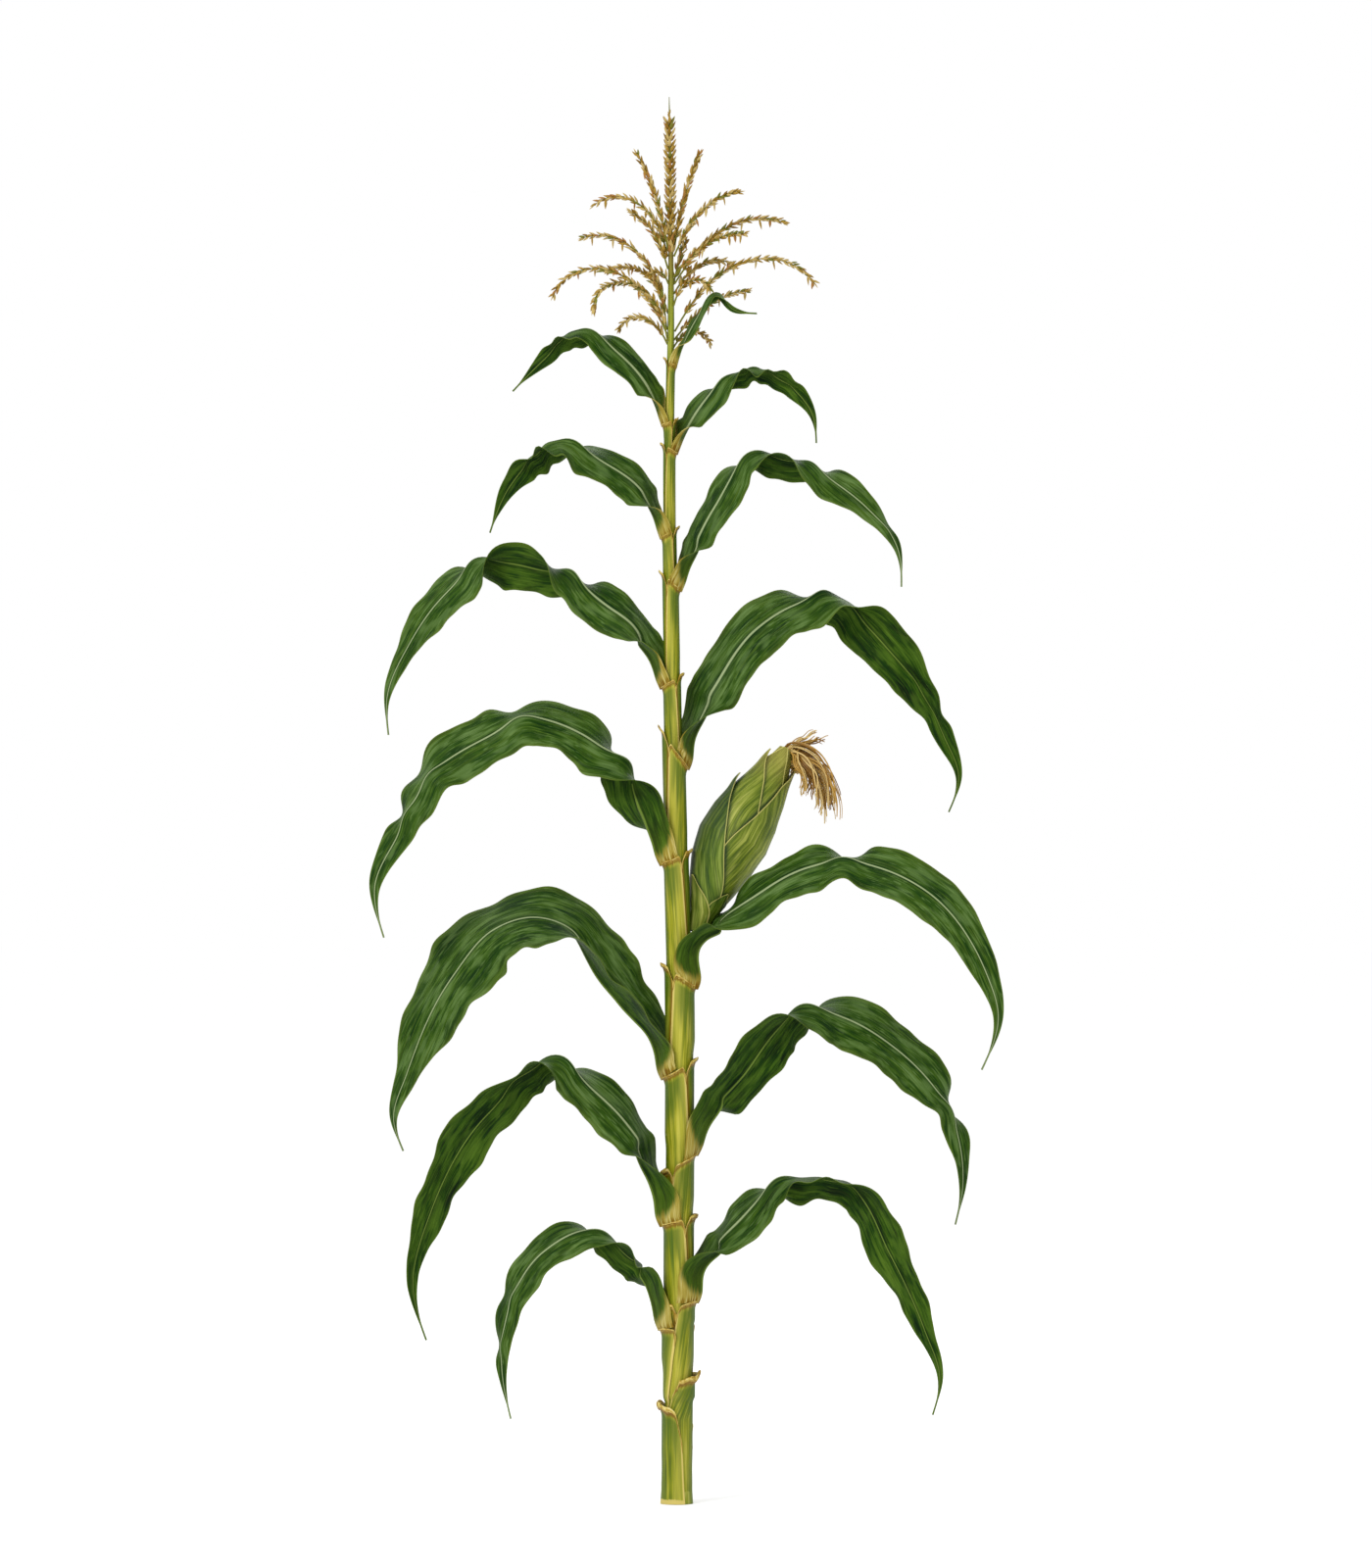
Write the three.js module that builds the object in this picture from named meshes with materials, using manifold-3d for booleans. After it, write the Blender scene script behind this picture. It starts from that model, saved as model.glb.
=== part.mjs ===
// A full-grown maize plant in flower, about two metres tall, cut off flat at the ground.
// Millimetres, +Z up. The origin is the middle of the cut face of the stalk, the ranks of
// leaves lie to the left (-X) and to the right (+X), and -Y is the front.
import * as THREE from 'three';
import Module from 'manifold-3d';

const wasm = await Module();
wasm.setup();

// ---------------------------------------------------------------- driving sizes
const CLEAR = 0.3;             // air kept between two separate pieces
const SIDES = 12;              // flats round the stalk and round each sheath
const STALK_TOP = 1800;        // where the central spike of the tassel stands on the stalk
const SPIKE_TOP = 2009;        // tip of the tassel
const GROUND_R = 24.5;         // flared foot, outside the lowest sheath
const FOOT_R = 22.8;           // the same sheath just above the flare
const FOOT_H = 50;
const NEST = 13;               // how far a sheath reaches down inside the one below it
const FLARE_H = 14;            // height over which a sheath opens at its collar
const CLASP = rad(85);         // how far each half of a blade wraps the stalk at its collar
const SOFT = 34;               // length over which a blade turns over
const TENT = 72;               // how steeply its halves hang from the midrib there, degrees
const RUFFLE = 0.28;           // how much wider it is there, as a share of its width
const GUTTER = 48;             // how steeply they rise from the midrib before the blade opens, degrees
const BEND_GAP = 0.4;          // air between the rising and the falling part of a blade
const MIDRIB = 0.0105;         // thickness of a blade on its midrib, as a share of its length
const MARGIN = 0.3;            // thickness on the margins, as a share of the midrib's

// Sideways lean of the stalk: height, offset of its middle.
const LEAN = [[0, 0], [400, 2], [700, 3], [1040, -5], [1300, -10], [1450, -12], [1700, -9.5], [2009, -12]];

// Leaves from the flag leaf down. rank: -1 left, 1 right. collar: height of the collar under
// the blade. slant: how much higher the collar stands on the far side of the stalk. r: outer
// radius of the sheath. wide: half the blade's width. full: where along the blade it reaches
// that width. turn: degrees the leaf stands forward (-) or back (+) of its rank. face: 1 if
// the first stretch shows its upper side to the front, -1 if its underside. over: where along
// the blade it turns over. flat: [place, depth] where a stretch lies nearly level instead.
// open: length from the collar at which the gutter at its foot has opened out. start: share of
// its tilt that the gutter already has (0.3 unless given). bends: reach and rise of the midrib
// from the collar.
const LEAVES = [
  { name: 'leaf_14', rank: 1, collar: 1624, slant: 12, r: 6.4, wide: 11, full: 0.3, turn: -22, face: 1, over: [0.62], flat: [],
    bends: [[42, 69], [72, 101], [96, 80], [133, 73]] },
  { name: 'leaf_13', rank: -1, collar: 1541, slant: 8, r: 8.2, wide: 23, full: 0.42, turn: 8, face: 1, over: [0.585], flat: [[0.65, 0.5], [0.73, 0.3]],
    bends: [[28, 48], [76, 103], [113, 127], [146, 125], [182, 94], [227, 49]] },
  { name: 'leaf_12', rank: 1, collar: 1501, slant: 12, r: 8.9, wide: 21, full: 0.3, turn: 10, face: 1, over: [0.42], flat: [[0.55, 0.85], [0.62, 0.4], [0.72, 0.4]],
    bends: [[28, 40], [56, 77], [126, 116], [184, 89], [207, 59], [214, 15]] },
  { name: 'leaf_11', rank: -1, collar: 1380, slant: 14, r: 10.2, wide: 33, full: 0.38, turn: -10, face: 1, over: [0.545], flat: [[0.61, 0.7], [0.69, 0.5]],
    bends: [[41, 65], [90, 101], [159, 124], [203, 104], [231, 72], [260, 5]] },
  { name: 'leaf_10', rank: 1, collar: 1305, slant: 25, r: 11.8, open: 80, wide: 29, full: 0.25, turn: -8, face: 1, over: [0.43, 0.575], flat: [[0.84, 0.4]],
    bends: [[29, 45], [64, 116], [118, 183], [200, 168], [284, 114], [326, 59], [332, 3]] },
  { name: 'leaf_09', rank: -1, collar: 1166, slant: 18, r: 12.9, open: 115, wide: 37, full: 0.3, turn: 12, face: 1, over: [0.35, 0.555], flat: [],
    bends: [[49, 77], [102, 119], [163, 155], [267, 175], [331, 135], [387, 62], [420, -15], [418, -68]] },
  { name: 'leaf_08', rank: 1, collar: 1051, slant: 57, r: 16.6, open: 105, wide: 41, full: 0.3, turn: 12, face: 1, over: [0.475], flat: [[0.53, 0.45], [0.72, 0.35], [0.8, 0.4]],
    bends: [[26, 49], [62, 117], [121, 197], [172, 228], [232, 233], [323, 161], [397, 46], [419, -16], [404, -64]] },
  { name: 'leaf_07', rank: -1, collar: 914, slant: 17, r: 18, wide: 42, full: 0.3, turn: -8, face: -1, over: [0.22], flat: [[0.45, 0.4], [0.66, 0.4], [0.75, 0.55]],
    bends: [[47, 73], [72, 116], [139, 184], [205, 205], [276, 177], [339, 138], [398, 43], [433, -33], [420, -105]] },
  { name: 'leaf_06', rank: 1, collar: 738, slant: 30, r: 21.3, open: 150, start: 0.0, wide: 37, full: 0.3, turn: -15, face: 1, over: [], flat: [[0.44, 0.5]],
    bends: [[24, 60], [90, 112], [196, 171], [250, 177], [371, 131], [450, 21], [467, -37], [443, -115]] },
  { name: 'leaf_05', rank: -1, collar: 608, slant: 25, r: 20.9, open: 370, wide: 62, full: 0.5, turn: 10, face: 1, over: [], flat: [],
    bends: [[38, 66], [104, 157], [154, 217], [211, 228], [268, 209], [329, 144], [398, 4], [418, -63], [404, -108]] },
  { name: 'leaf_04', rank: 1, collar: 500, slant: -30, r: 21.2, open: 90, wide: 43, full: 0.25, turn: 8, face: -1, over: [0.39], flat: [[0.765, 0.5]],
    bends: [[43, 52], [90, 108], [158, 184], [205, 195], [318, 143], [395, 47], [411, -46], [400, -105]] },
  { name: 'leaf_03', rank: -1, collar: 399, slant: 10, r: 21.8, open: 125, wide: 41, full: 0.35, turn: -12, face: 1, over: [0.385], flat: [[0.47, 0.4]],
    bends: [[39, 74], [116, 181], [186, 223], [280, 158], [362, 19], [387, -85], [367, -161]] },
  { name: 'leaf_02', rank: 1, collar: 290, slant: -12, r: 23.2, flare: 1.5, open: 115, wide: 35, full: 0.25, turn: -12, face: 1, over: [0.335], flat: [[0.41, 0.4], [0.47, 0.5]],
    bends: [[34, 49], [78, 101], [152, 161], [257, 156], [306, 73], [357, -35], [380, -109], [369, -158]] },
  { name: 'leaf_01', rank: -1, collar: 250, slant: 0, r: 24, wide: 29, full: 0.45, turn: 8, face: -1, over: [0.34], flat: [[0.2, 0.4], [0.66, 0.3], [0.8, 0.45]],
    bends: [[44, 63], [95, 115], [145, 132], [195, 107], [250, 8], [256, -55], [243, -132]] },
];

// The two lowest sheaths have lost their blades: only a torn, curled rim is left.
const BARE = [
  { name: 'sheath_02', rank: 1, collar: 180, slant: -12, r: 24, lip: 6 },
  { name: 'sheath_01', rank: -1, collar: 140, slant: -35, r: 23.2, lip: 6 },
];

// Side branches of the tassel: rank, height on the stalk, length, degrees above level at the
// start and at the tip, degrees forward (-) or back (+) of the rank.
const BRANCHES = [
  [-1, 1792, 146, 79, 58, -25], [1, 1790, 148, 80, 66, 25],
  [-1, 1781, 162, 77, -45, 20], [1, 1781, 140, 66, 2, -22],
  [-1, 1763, 102, 74, 22, -35], [1, 1752, 123, 50, -8, -35],
  [-1, 1700, 128, 74, -35, 40], [1, 1742, 200, 58, -22, 15],
  [-1, 1742, 40, 70, -90, -45], [1, 1741, 70, 78, 68, 50],
  [1, 1728, 112, 60, -35, 38], [1, 1711, 80, 74, -90, -45],
  [-1, 1676, 208, 84, -22, -15], [1, 1674, 262, 61, -58, 18],
  [-1, 1671, 227, 66, -72, 12], [-1, 1660, 182, 80, -105, -42],
  [1, 1662, 137, 52, 4, 40], [-1, 1656, 98, 66, -75, 35],
  [1, 1650, 75, 60, -90, 58],
];

// Middle line of the ear (offset, height) and its radius along the way.
const EAR_LINE = [[36, 843], [53, 887], [72, 932], [99, 983], [127, 1028], [148, 1063], [156, 1077]];
const EAR_R = [14, 28, 39, 45, 42, 34, 23, 12];
const EAR_TURN = 20;
const SHANK_R = 9.5, SHANK_Z = 818, SHANK_SEAT = 17.9;   // the shank's radius, and the height and radius of its seat on the sheath

// Clumps of silk: length, degrees above level at the ear and at the tip, degrees round.
const SILK = [
  [58, 74, 10, -10], [84, 36, -92, 60], [122, 45, -94, 10], [134, 42, -96, -38], [114, 38, -97, 40], [94, 30, -98, -75],
];

// ---------------------------------------------------------------- small helpers
function rad(deg) { return deg * Math.PI / 180; }
function lerp(a, b, t) { return a + (b - a) * t; }
function clamp01(t) { return Math.min(1, Math.max(0, t)); }
function smooth(a, b, x) { const t = clamp01((x - a) / (b - a)); return t * t * (3 - 2 * t); }

// Piecewise-linear reading of a list of [x, value] pairs.
function read(list, x) {
  if (x <= list[0][0]) return list[0][1];
  for (let i = 1; i < list.length; i++) {
    if (x <= list[i][0]) return lerp(list[i - 1][1], list[i][1], (x - list[i - 1][0]) / (list[i][0] - list[i - 1][0]));
  }
  return list[list.length - 1][1];
}

// A smooth line through [a, b] points, measured by its length. Each knot's slope is that of
// the parabola through it and its two neighbours.
function line(knots) {
  const h = [], d = [];
  for (let i = 1; i < knots.length; i++) {
    const da = knots[i][0] - knots[i - 1][0], db = knots[i][1] - knots[i - 1][1], l = Math.hypot(da, db);
    h.push(l); d.push([da / l, db / l]);
  }
  const n = knots.length - 1;
  const m = knots.map((k, i) => {
    if (i === 0 || i === n) return null;
    return [0, 1].map((c) => (d[i - 1][c] * h[i] + d[i][c] * h[i - 1]) / (h[i - 1] + h[i]));
  });
  m[0] = n > 1 ? [0, 1].map((c) => (3 * d[0][c] - m[1][c]) / 2) : d[0];
  m[n] = n > 1 ? [0, 1].map((c) => (3 * d[n - 1][c] - m[n - 1][c]) / 2) : d[0];
  const pts = [], STEPS = 24;
  for (let i = 0; i < n; i++) {
    for (let j = (i ? 1 : 0); j <= STEPS; j++) {
      const t = j / STEPS, t2 = t * t, t3 = t2 * t;
      pts.push([0, 1].map((c) => (2 * t3 - 3 * t2 + 1) * knots[i][c] + (t3 - 2 * t2 + t) * h[i] * m[i][c]
        + (3 * t2 - 2 * t3) * knots[i + 1][c] + (t3 - t2) * h[i] * m[i + 1][c]));
    }
  }
  const s = [0];
  for (let i = 1; i < pts.length; i++) s.push(s[i - 1] + Math.hypot(pts[i][0] - pts[i - 1][0], pts[i][1] - pts[i - 1][1]));
  const length = s[s.length - 1];
  function at(x) {
    const q = Math.min(length, Math.max(0, x));
    let i = 1;
    while (i < s.length - 1 && s[i] < q) i++;
    const t = (q - s[i - 1]) / (s[i] - s[i - 1]);
    const a = Math.max(0, i - 2), b = Math.min(pts.length - 1, i + 1);
    const ta = pts[b][0] - pts[a][0], tb = pts[b][1] - pts[a][1], tl = Math.hypot(ta, tb);
    return { a: lerp(pts[i - 1][0], pts[i][0], t), b: lerp(pts[i - 1][1], pts[i][1], t), ta: ta / tl, tb: tb / tl };
  }
  return { length, at, pts, s };
}

// Turns a point given as reach, depth and rise from a collar into plant space.
function place(rank, turn, foot, r, y, z) {
  const c = Math.cos(rad(turn)), k = Math.sin(rad(turn));
  return [lean(foot) + rank * (r * c - y * k), r * k + y * c, foot + z];
}

// Skin of a body from rings of equal length, closed at both ends by a fan on a middle point, or
// by a strip across a thin ring, whose two sides are cut into triangles alike, so that they don't
// cross where the body twists. flip reverses the faces (for a mirrored rank).
function loft(rings, flip, thin) {
  const v = [], f = [], n = rings[0].length;
  for (const ring of rings) for (const p of ring) v.push(p);
  const tri = (a, b, c) => { if (flip) f.push([a, c, b]); else f.push([a, b, c]); };
  for (let i = 0; i + 1 < rings.length; i++) {
    for (let j = 0; j < n; j++) {
      const a = i * n + j, b = i * n + (j + 1) % n, c = a + n, d = b + n;
      if (thin && j >= n / 2) { tri(a, b, c); tri(b, d, c); } else { tri(a, b, d); tri(a, d, c); }
    }
  }
  for (const [i, end] of [[0, true], [rings.length - 1, false]]) {
    if (thin) {
      for (let j = 0; j + 1 < n / 2; j++) {
        const a = i * n + j, b = a + 1, c = i * n + n - 2 - j, d = c + 1;
        if (end) { tri(a, c, b); tri(a, d, c); } else { tri(a, b, c); tri(a, c, d); }
      }
      continue;
    }
    const mid = rings[i].reduce((m, p) => m.map((x, k) => x + p[k] / n), [0, 0, 0]);
    const at = v.push(mid) - 1;
    for (let j = 0; j < n; j++) {
      const a = i * n + j, b = i * n + (j + 1) % n;
      if (end) tri(at, b, a); else tri(at, a, b);
    }
  }
  return { v, f };
}

function solid({ v, f }) {
  const m = new wasm.Manifold(new wasm.Mesh({ numProp: 3, vertProperties: new Float32Array(v.flat()), triVerts: new Uint32Array(f.flat()) }));
  return m.volume() < 0 ? new wasm.Manifold(new wasm.Mesh({ numProp: 3, vertProperties: new Float32Array(v.flat()), triVerts: new Uint32Array(f.map(([a, b, c]) => [a, c, b]).flat()) })) : m;
}

const plant = new THREE.Group();
function add(name, whole, colour, roughness) {
  const body = whole.decompose().sort((a, b) => b.volume() - a.volume())[0];
  const m = body.getMesh(), g = new THREE.BufferGeometry();
  g.setAttribute('position', new THREE.BufferAttribute(new Float32Array(m.vertProperties), 3));
  g.setIndex(new THREE.BufferAttribute(new Uint32Array(m.triVerts), 1));
  g.computeVertexNormals();
  const mesh = new THREE.Mesh(g, new THREE.MeshStandardMaterial({ color: colour, roughness, metalness: 0 }));
  mesh.name = name;
  plant.add(mesh);
}

// ---------------------------------------------------------------- sheaths and stalk
const wall = (r) => 0.06 * r + 0.35;
const STACK = [...LEAVES, ...BARE];
STACK.forEach((p, k) => {
  const below = STACK[k + 1];
  p.arc = 1.1 * p.r + 1.2;                                  // radius at which the blade clasps the stalk
  p.nest = below ? Math.min(p.r, below.r - wall(below.r) - CLEAR - 0.15) : p.r;
  p.foot = below ? below.collar + Math.min(0, below.slant) - NEST : 0;
  p.free = below ? below.collar + Math.max(0, below.slant) + 4 : FOOT_H;
});

// The stalk's middle runs straight between the feet of the sheaths, so all of them share it.
const LEAN_LINE = line(LEAN);
const STATIONS = [0, 20, FOOT_H, ...STACK.map((p) => p.foot).filter((z) => z > 0).reverse(), 1624, 1700, 1755, STALK_TOP, 1900, SPIKE_TOP];
const AXIS = STATIONS.map((z) => [z, read(LEAN_LINE.pts, z)]);
function lean(z) { return read(AXIS, z); }

function ring(z, r, lift, open) {
  const out = [];
  for (let j = 0; j < SIDES; j++) {
    const q = 2 * Math.PI * j / SIDES, h = z + (lift ? lift(q) : 0), w = r + (open ? open(q) : 0);
    out.push([lean(h) + w * Math.cos(q), w * Math.sin(q), h]);
  }
  return out;
}

function sheath(p) {
  const toward = (q) => (1 + p.rank * Math.cos(q)) / 2;      // 1 under the blade, 0 on the far side
  const rim = (q) => p.slant * (1 - toward(q));
  const lip = p.lip ?? p.flare ?? 4;
  const low = Math.min(p.collar, p.collar + p.slant);
  const rows = [];
  if (p.foot === 0) {
    rows.push([0, GROUND_R]); rows.push([20, lerp(GROUND_R, FOOT_R, 0.75)]); rows.push([FOOT_H, FOOT_R]);
  } else {
    rows.push([p.foot, p.nest]);
    rows.push([Math.min(p.free, low - FLARE_H - 6), p.nest]);
    const go = Math.min(p.free, low - FLARE_H - 6);
    if (low - FLARE_H - go > 40) rows.push([go + 28, p.r]);
  }
  rows.push([low - FLARE_H, p.r]);
  const outer = rows.map(([z, r]) => ring(z, r)), inner = rows.map(([z, r]) => ring(z, r - wall(p.r)));
  const bareLip = p.lip !== undefined;
  const open = (q) => (bareLip ? lip * toward(q) + 1 : lerp(lip, p.arc + 1.5 - p.r, smooth(0.2, 0.6, toward(q))));
  if (p.slant > 40) {
    outer.push(ring(p.collar - FLARE_H, p.r, (q) => 0.5 * rim(q))); inner.push(ring(p.collar - FLARE_H, p.r - wall(p.r), (q) => 0.5 * rim(q)));
  }
  outer.push(ring(p.collar, p.r, rim, open));
  inner.push(ring(p.collar, p.r - wall(p.r), rim, open));
  const rings = [...outer, ...inner.reverse()];
  // one closed loop of rings: outside up, over the rim, inside down, under the foot
  const v = rings.flat(), f = [], n = SIDES, m = rings.length;
  for (let i = 0; i < m; i++) {
    for (let j = 0; j < n; j++) {
      const a = i * n + j, b = i * n + (j + 1) % n, c = ((i + 1) % m) * n + j, d = ((i + 1) % m) * n + (j + 1) % n;
      f.push([a, b, d], [a, d, c]);
    }
  }
  return solid({ v, f });
}

// The stalk itself, inside the sheaths: as thick as the nested sheaths leave room for.
const INSET = CLEAR + 0.25;
const stalkR = [[0, GROUND_R - wall(23.2) - INSET], [20, lerp(GROUND_R, FOOT_R, 0.75) - wall(23.2) - INSET], [FOOT_H, FOOT_R - wall(23.2) - INSET]];
for (let k = STACK.length - 2; k >= 0; k--) {
  const p = STACK[k], r = p.nest - wall(p.r) - INSET;
  stalkR.push([p.foot, Math.min(r, stalkR[stalkR.length - 1][1])]);
}
stalkR.push([1624, 5.1], [1700, 4.7], [1755, 4.1], [STALK_TOP, 3.4]);
add('stalk', solid(loft(stalkR.map(([z, r]) => ring(z, r)))), 0xa3a04c, 0.6);

// ---------------------------------------------------------------- blades
const POINTS = [-1, -0.5, 0, 0.5, 1];
function prepare(p, k) {
  const knots = [[p.r - 0.4, -14], [p.arc, 0], ...p.bends];
  p.line = line(knots);
  p.len = p.line.length;
  p.clasped = CLASP * p.arc;
  p.open = p.open ?? 60;
  p.phase = 1.7 * k;
  p.ripple = p.wide * 0.13;
  p.pitch = 70 + p.wide;
}
function rollAt(p, s) {
  const t = s / p.len, soft = SOFT / p.len;
  let a = p.face * rad(56 + 14 * t);
  for (const o of p.over) a *= -Math.tanh((t - o) / soft);
  for (const [o, depth] of p.flat) a *= 1 - depth * Math.exp(-(((t - o) / 0.035) ** 2));
  // it can only tip over once it has opened and stands clear of the stalk
  return a * lerp(p.start ?? 0.3, 1, openAt(p, s)) * smooth(0, 1, roomAt(p, s));
}
function openAt(p, s) { return smooth(0.45 * p.open, 1.35 * p.open, s); }
function roomAt(p, s) { return (p.line.at(s).a - p.r - 2) / widthAt(p, s); }
function widthAt(p, s) {
  const t = s / p.len, out = 0.6, x = clamp01((t - out) / (1 - out));
  let w = lerp(p.clasped, p.wide, Math.sin(Math.PI / 2 * clamp01(t / p.full)));
  for (const o of p.over) w *= 1 + RUFFLE * smooth(10, 70, s) * Math.exp(-(((s - o * p.len) / (1.3 * SOFT)) ** 2));
  return Math.max(1.2, w * (1 - x) ** 1.7 * (1 + 1.3 * x));
}
// Point u (-1 far margin, 0 midrib, 1 near margin) of the cross-section at length s, sunk by
// depth under the upper side.
function section(p, s, u, depth) {
  const m = p.line.at(s), t = s / p.len, roll = rollAt(p, s), c = Math.cos(roll), k = Math.sin(roll);
  const N = [-m.tb * c, -k, m.ta * c], D = [m.tb * k, -c, -m.ta * k];
  const a = Math.abs(u), side = u < 0 ? -1 : 1, w = widthAt(p, s), room = roomAt(p, s), open = openAt(p, s);
  // a gutter until it opens, shallow beside the stalk; further out flat, and a tent where it turns over
  const gutter = rad(6) + rad(lerp(18, GUTTER, smooth(0.2, 1, room))) * (1 - open), tent = rad(5) - rad(TENT) * c * c;
  const fold = lerp(gutter, tent, open * smooth(0.75, 1, room)) * smooth(15, 60, s) * (1 - 0.4 * t);
  const bend = CLASP * (1 - smooth(10, 45 + 2.6 * p.r, s));
  const g = fold + bend * a;
  let d = a * Math.cos(fold), n = a * Math.sin(fold);
  if (bend > 0.01) { d = (Math.sin(g) - Math.sin(fold)) / bend; n = (Math.cos(fold) - Math.cos(g)) / bend; }
  const wave = p.ripple * smooth(0.1, 0.22, t) * (1 - smooth(0.7, 0.95, t)) * Math.sin(2 * Math.PI * s / p.pitch + p.phase + (side > 0 ? 0 : 2.2));
  d = d * w + depth * Math.sin(g);
  n = n * w + wave * a * a - depth * Math.cos(g) - 0.5 * w * Math.sin(fold) * smooth(40, 110, s);
  const q = [0, 1, 2].map((i) => side * d * D[i] + n * N[i]);
  return place(p.rank, p.turn, p.collar, m.a + q[0], q[1], m.b + q[2]);
}
function bladeRing(p, s) {
  const mid = MIDRIB * p.len * (1 - 0.5 * smooth(0.6, 1, s / p.len)), w = widthAt(p, s);
  const depth = (u) => Math.min(mid * lerp(1, MARGIN, Math.abs(u) ** 0.7), Math.max(1, 1.3 * w)) * lerp(0.16, 1, smooth(0, 30, s));
  const up = POINTS.map((u) => section(p, s, u, 0)), down = POINTS.map((u) => section(p, s, u, depth(u)));
  return [...up, ...down.reverse()];
}
// Rows are closer where the blade bends or turns over.
function bladeRows(p, from, to) {
  const cost = (a, b) => {
    const ma = p.line.at(a), mb = p.line.at(b);
    const swing = Math.acos(Math.min(1, ma.ta * mb.ta + ma.tb * mb.tb));
    return (b - a) / 50 + swing / rad(38) + Math.abs(rollAt(p, b) - rollAt(p, a)) / rad(48);
  };
  const marks = [], total = [0], STEP = 2;
  for (let s = from; s < to; s += STEP) marks.push(s);
  marks.push(to);
  for (let i = 1; i < marks.length; i++) total.push(total[i - 1] + cost(marks[i - 1], marks[i]));
  const n = Math.max(3, Math.round(total[total.length - 1])), rows = [];
  for (let j = 0; j <= n; j++) {
    const want = total[total.length - 1] * j / n;
    let i = 0;
    while (i < total.length - 1 && total[i] < want - 1e-9) i++;
    rows.push(marks[i]);
  }
  return rows;
}
function bladePart(p, from, to) {
  return solid(loft(bladeRows(p, from, to).map((s) => bladeRing(p, s)), p.rank < 0, true));
}

LEAVES.forEach((p, k) => {
  prepare(p, k);
  // the blade is in two at its crest, where it lies flattest across the bend
  let crest = 0;
  for (let s = 0; s < p.len; s += 2) if (p.line.at(s).b > p.line.at(crest).b) crest = s;
  const strain = (s) => {
    const a = p.line.at(s - 6), b = p.line.at(s + 6);
    return Math.acos(Math.min(1, a.ta * b.ta + a.tb * b.tb)) / 12 * widthAt(p, s) * Math.abs(Math.sin(rollAt(p, s))) + Math.abs(s - crest) / p.len;
  };
  let cut = crest;
  for (let s = crest - 0.13 * p.len; s < crest + 0.13 * p.len; s += 2) if (strain(s) < strain(cut)) cut = s;
  const green = 0x3f6b24;
  add(p.name + '_rise', sheath(p).add(bladePart(p, 0, cut - BEND_GAP / 2)), green, 0.6);
  add(p.name + '_fall', bladePart(p, cut + BEND_GAP / 2, p.len), green, 0.6);
});
for (const p of BARE) add(p.name, sheath(p), 0x9a9a45, 0.7);

// ---------------------------------------------------------------- tassel
// A knobbly rod along a path: spikelets stand out in pairs, fused to the stem.
function rod(path, count, bare, thin, thick, sides, flip) {
  const rings = [];
  for (let i = 0; i <= count; i++) {
    const t = i / count, { p, side, up } = path(t);
    const full = smooth(bare, bare + 0.08, t) * (1 - 0.55 * smooth(0.8, 1, t));
    const out = i % 2 ? 1 : 0.55, r = lerp(thin, thick * out, full);
    const shift = full * thick * 0.35 * (i % 4 < 2 ? 1 : -1);
    rings.push(Array.from({ length: sides }, (_, j) => {
      const q = 2 * Math.PI * (j + 0.5) / sides;
      return [0, 1, 2].map((c) => p[c] + (shift + r * Math.cos(q)) * side[c] + r * Math.sin(q) * up[c]);
    }));
  }
  return solid(loft(rings, flip));
}
function stalkRadiusAt(z) { return read(stalkR, z); }

BRANCHES.forEach(([rank, z, length, up, tip, turn], k) => {
  const foot = 0.975 * stalkRadiusAt(z) + CLEAR + 0.95 * Math.sin(rad(up)), STEPS = 60, pts = [[foot, 0]];
  for (let i = 0; i < STEPS; i++) {
    const e = rad(up + (tip - up) * ((i + 0.5) / STEPS) ** 1.75), d = length / STEPS, q = pts[i];
    pts.push([q[0] + d * Math.cos(e), q[1] + d * Math.sin(e)]);
  }
  const path = (t) => {
    const x = t * STEPS, i = Math.min(STEPS - 1, Math.floor(x)), a = pts[i], b = pts[i + 1], l = Math.hypot(b[0] - a[0], b[1] - a[1]);
    const at = (r, y, h) => place(rank, turn, z, foot + (r - foot) / Math.cos(rad(turn)), y, h);
    const p = at(lerp(a[0], b[0], x - i), 0, lerp(a[1], b[1], x - i));
    const ta = (b[0] - a[0]) / l, tb = (b[1] - a[1]) / l, o = at(0, 0, 0);
    const vec = (r, y, h) => { const w = at(r, y, h), e = [0, 1, 2].map((c) => w[c] - o[c]), n = Math.hypot(...e); return e.map((c) => c / n); };
    return { p, side: vec(0, 1, 0), up: vec(-tb, 0, ta) };
  };
  const count = Math.max(6, Math.round(length / 13));
  add('tassel_branch_' + String(k + 1).padStart(2, '0'), rod(path, count, 0.1, 1.3, 5, 4, rank < 0), 0xa88a3c, 0.8);
});

{
  const path = (t) => {
    const z = lerp(STALK_TOP + CLEAR, SPIKE_TOP, t);
    return { p: [lean(z), 0, z], side: [1, 0, 0], up: [0, 1, 0] };
  };
  const rings = [], ROWS = 30;
  for (let i = 0; i <= ROWS; i++) {
    const t = i / ROWS, { p } = path(t);
    const dense = smooth(0.0, 0.1, t) * (1 - smooth(0.8, 0.87, t));
    const r = lerp(lerp(3.2, 0.7, t), i % 2 ? 7.6 : 5.4, dense);
    rings.push(Array.from({ length: 7 }, (_, j) => {
      const q = 2 * Math.PI * (j + (i % 2) / 2) / 7;
      return [p[0] + r * Math.cos(q), p[1] + r * Math.sin(q), p[2]];
    }));
  }
  add('tassel_spike', solid(loft(rings)), 0xb0903f, 0.8);
}

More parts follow.
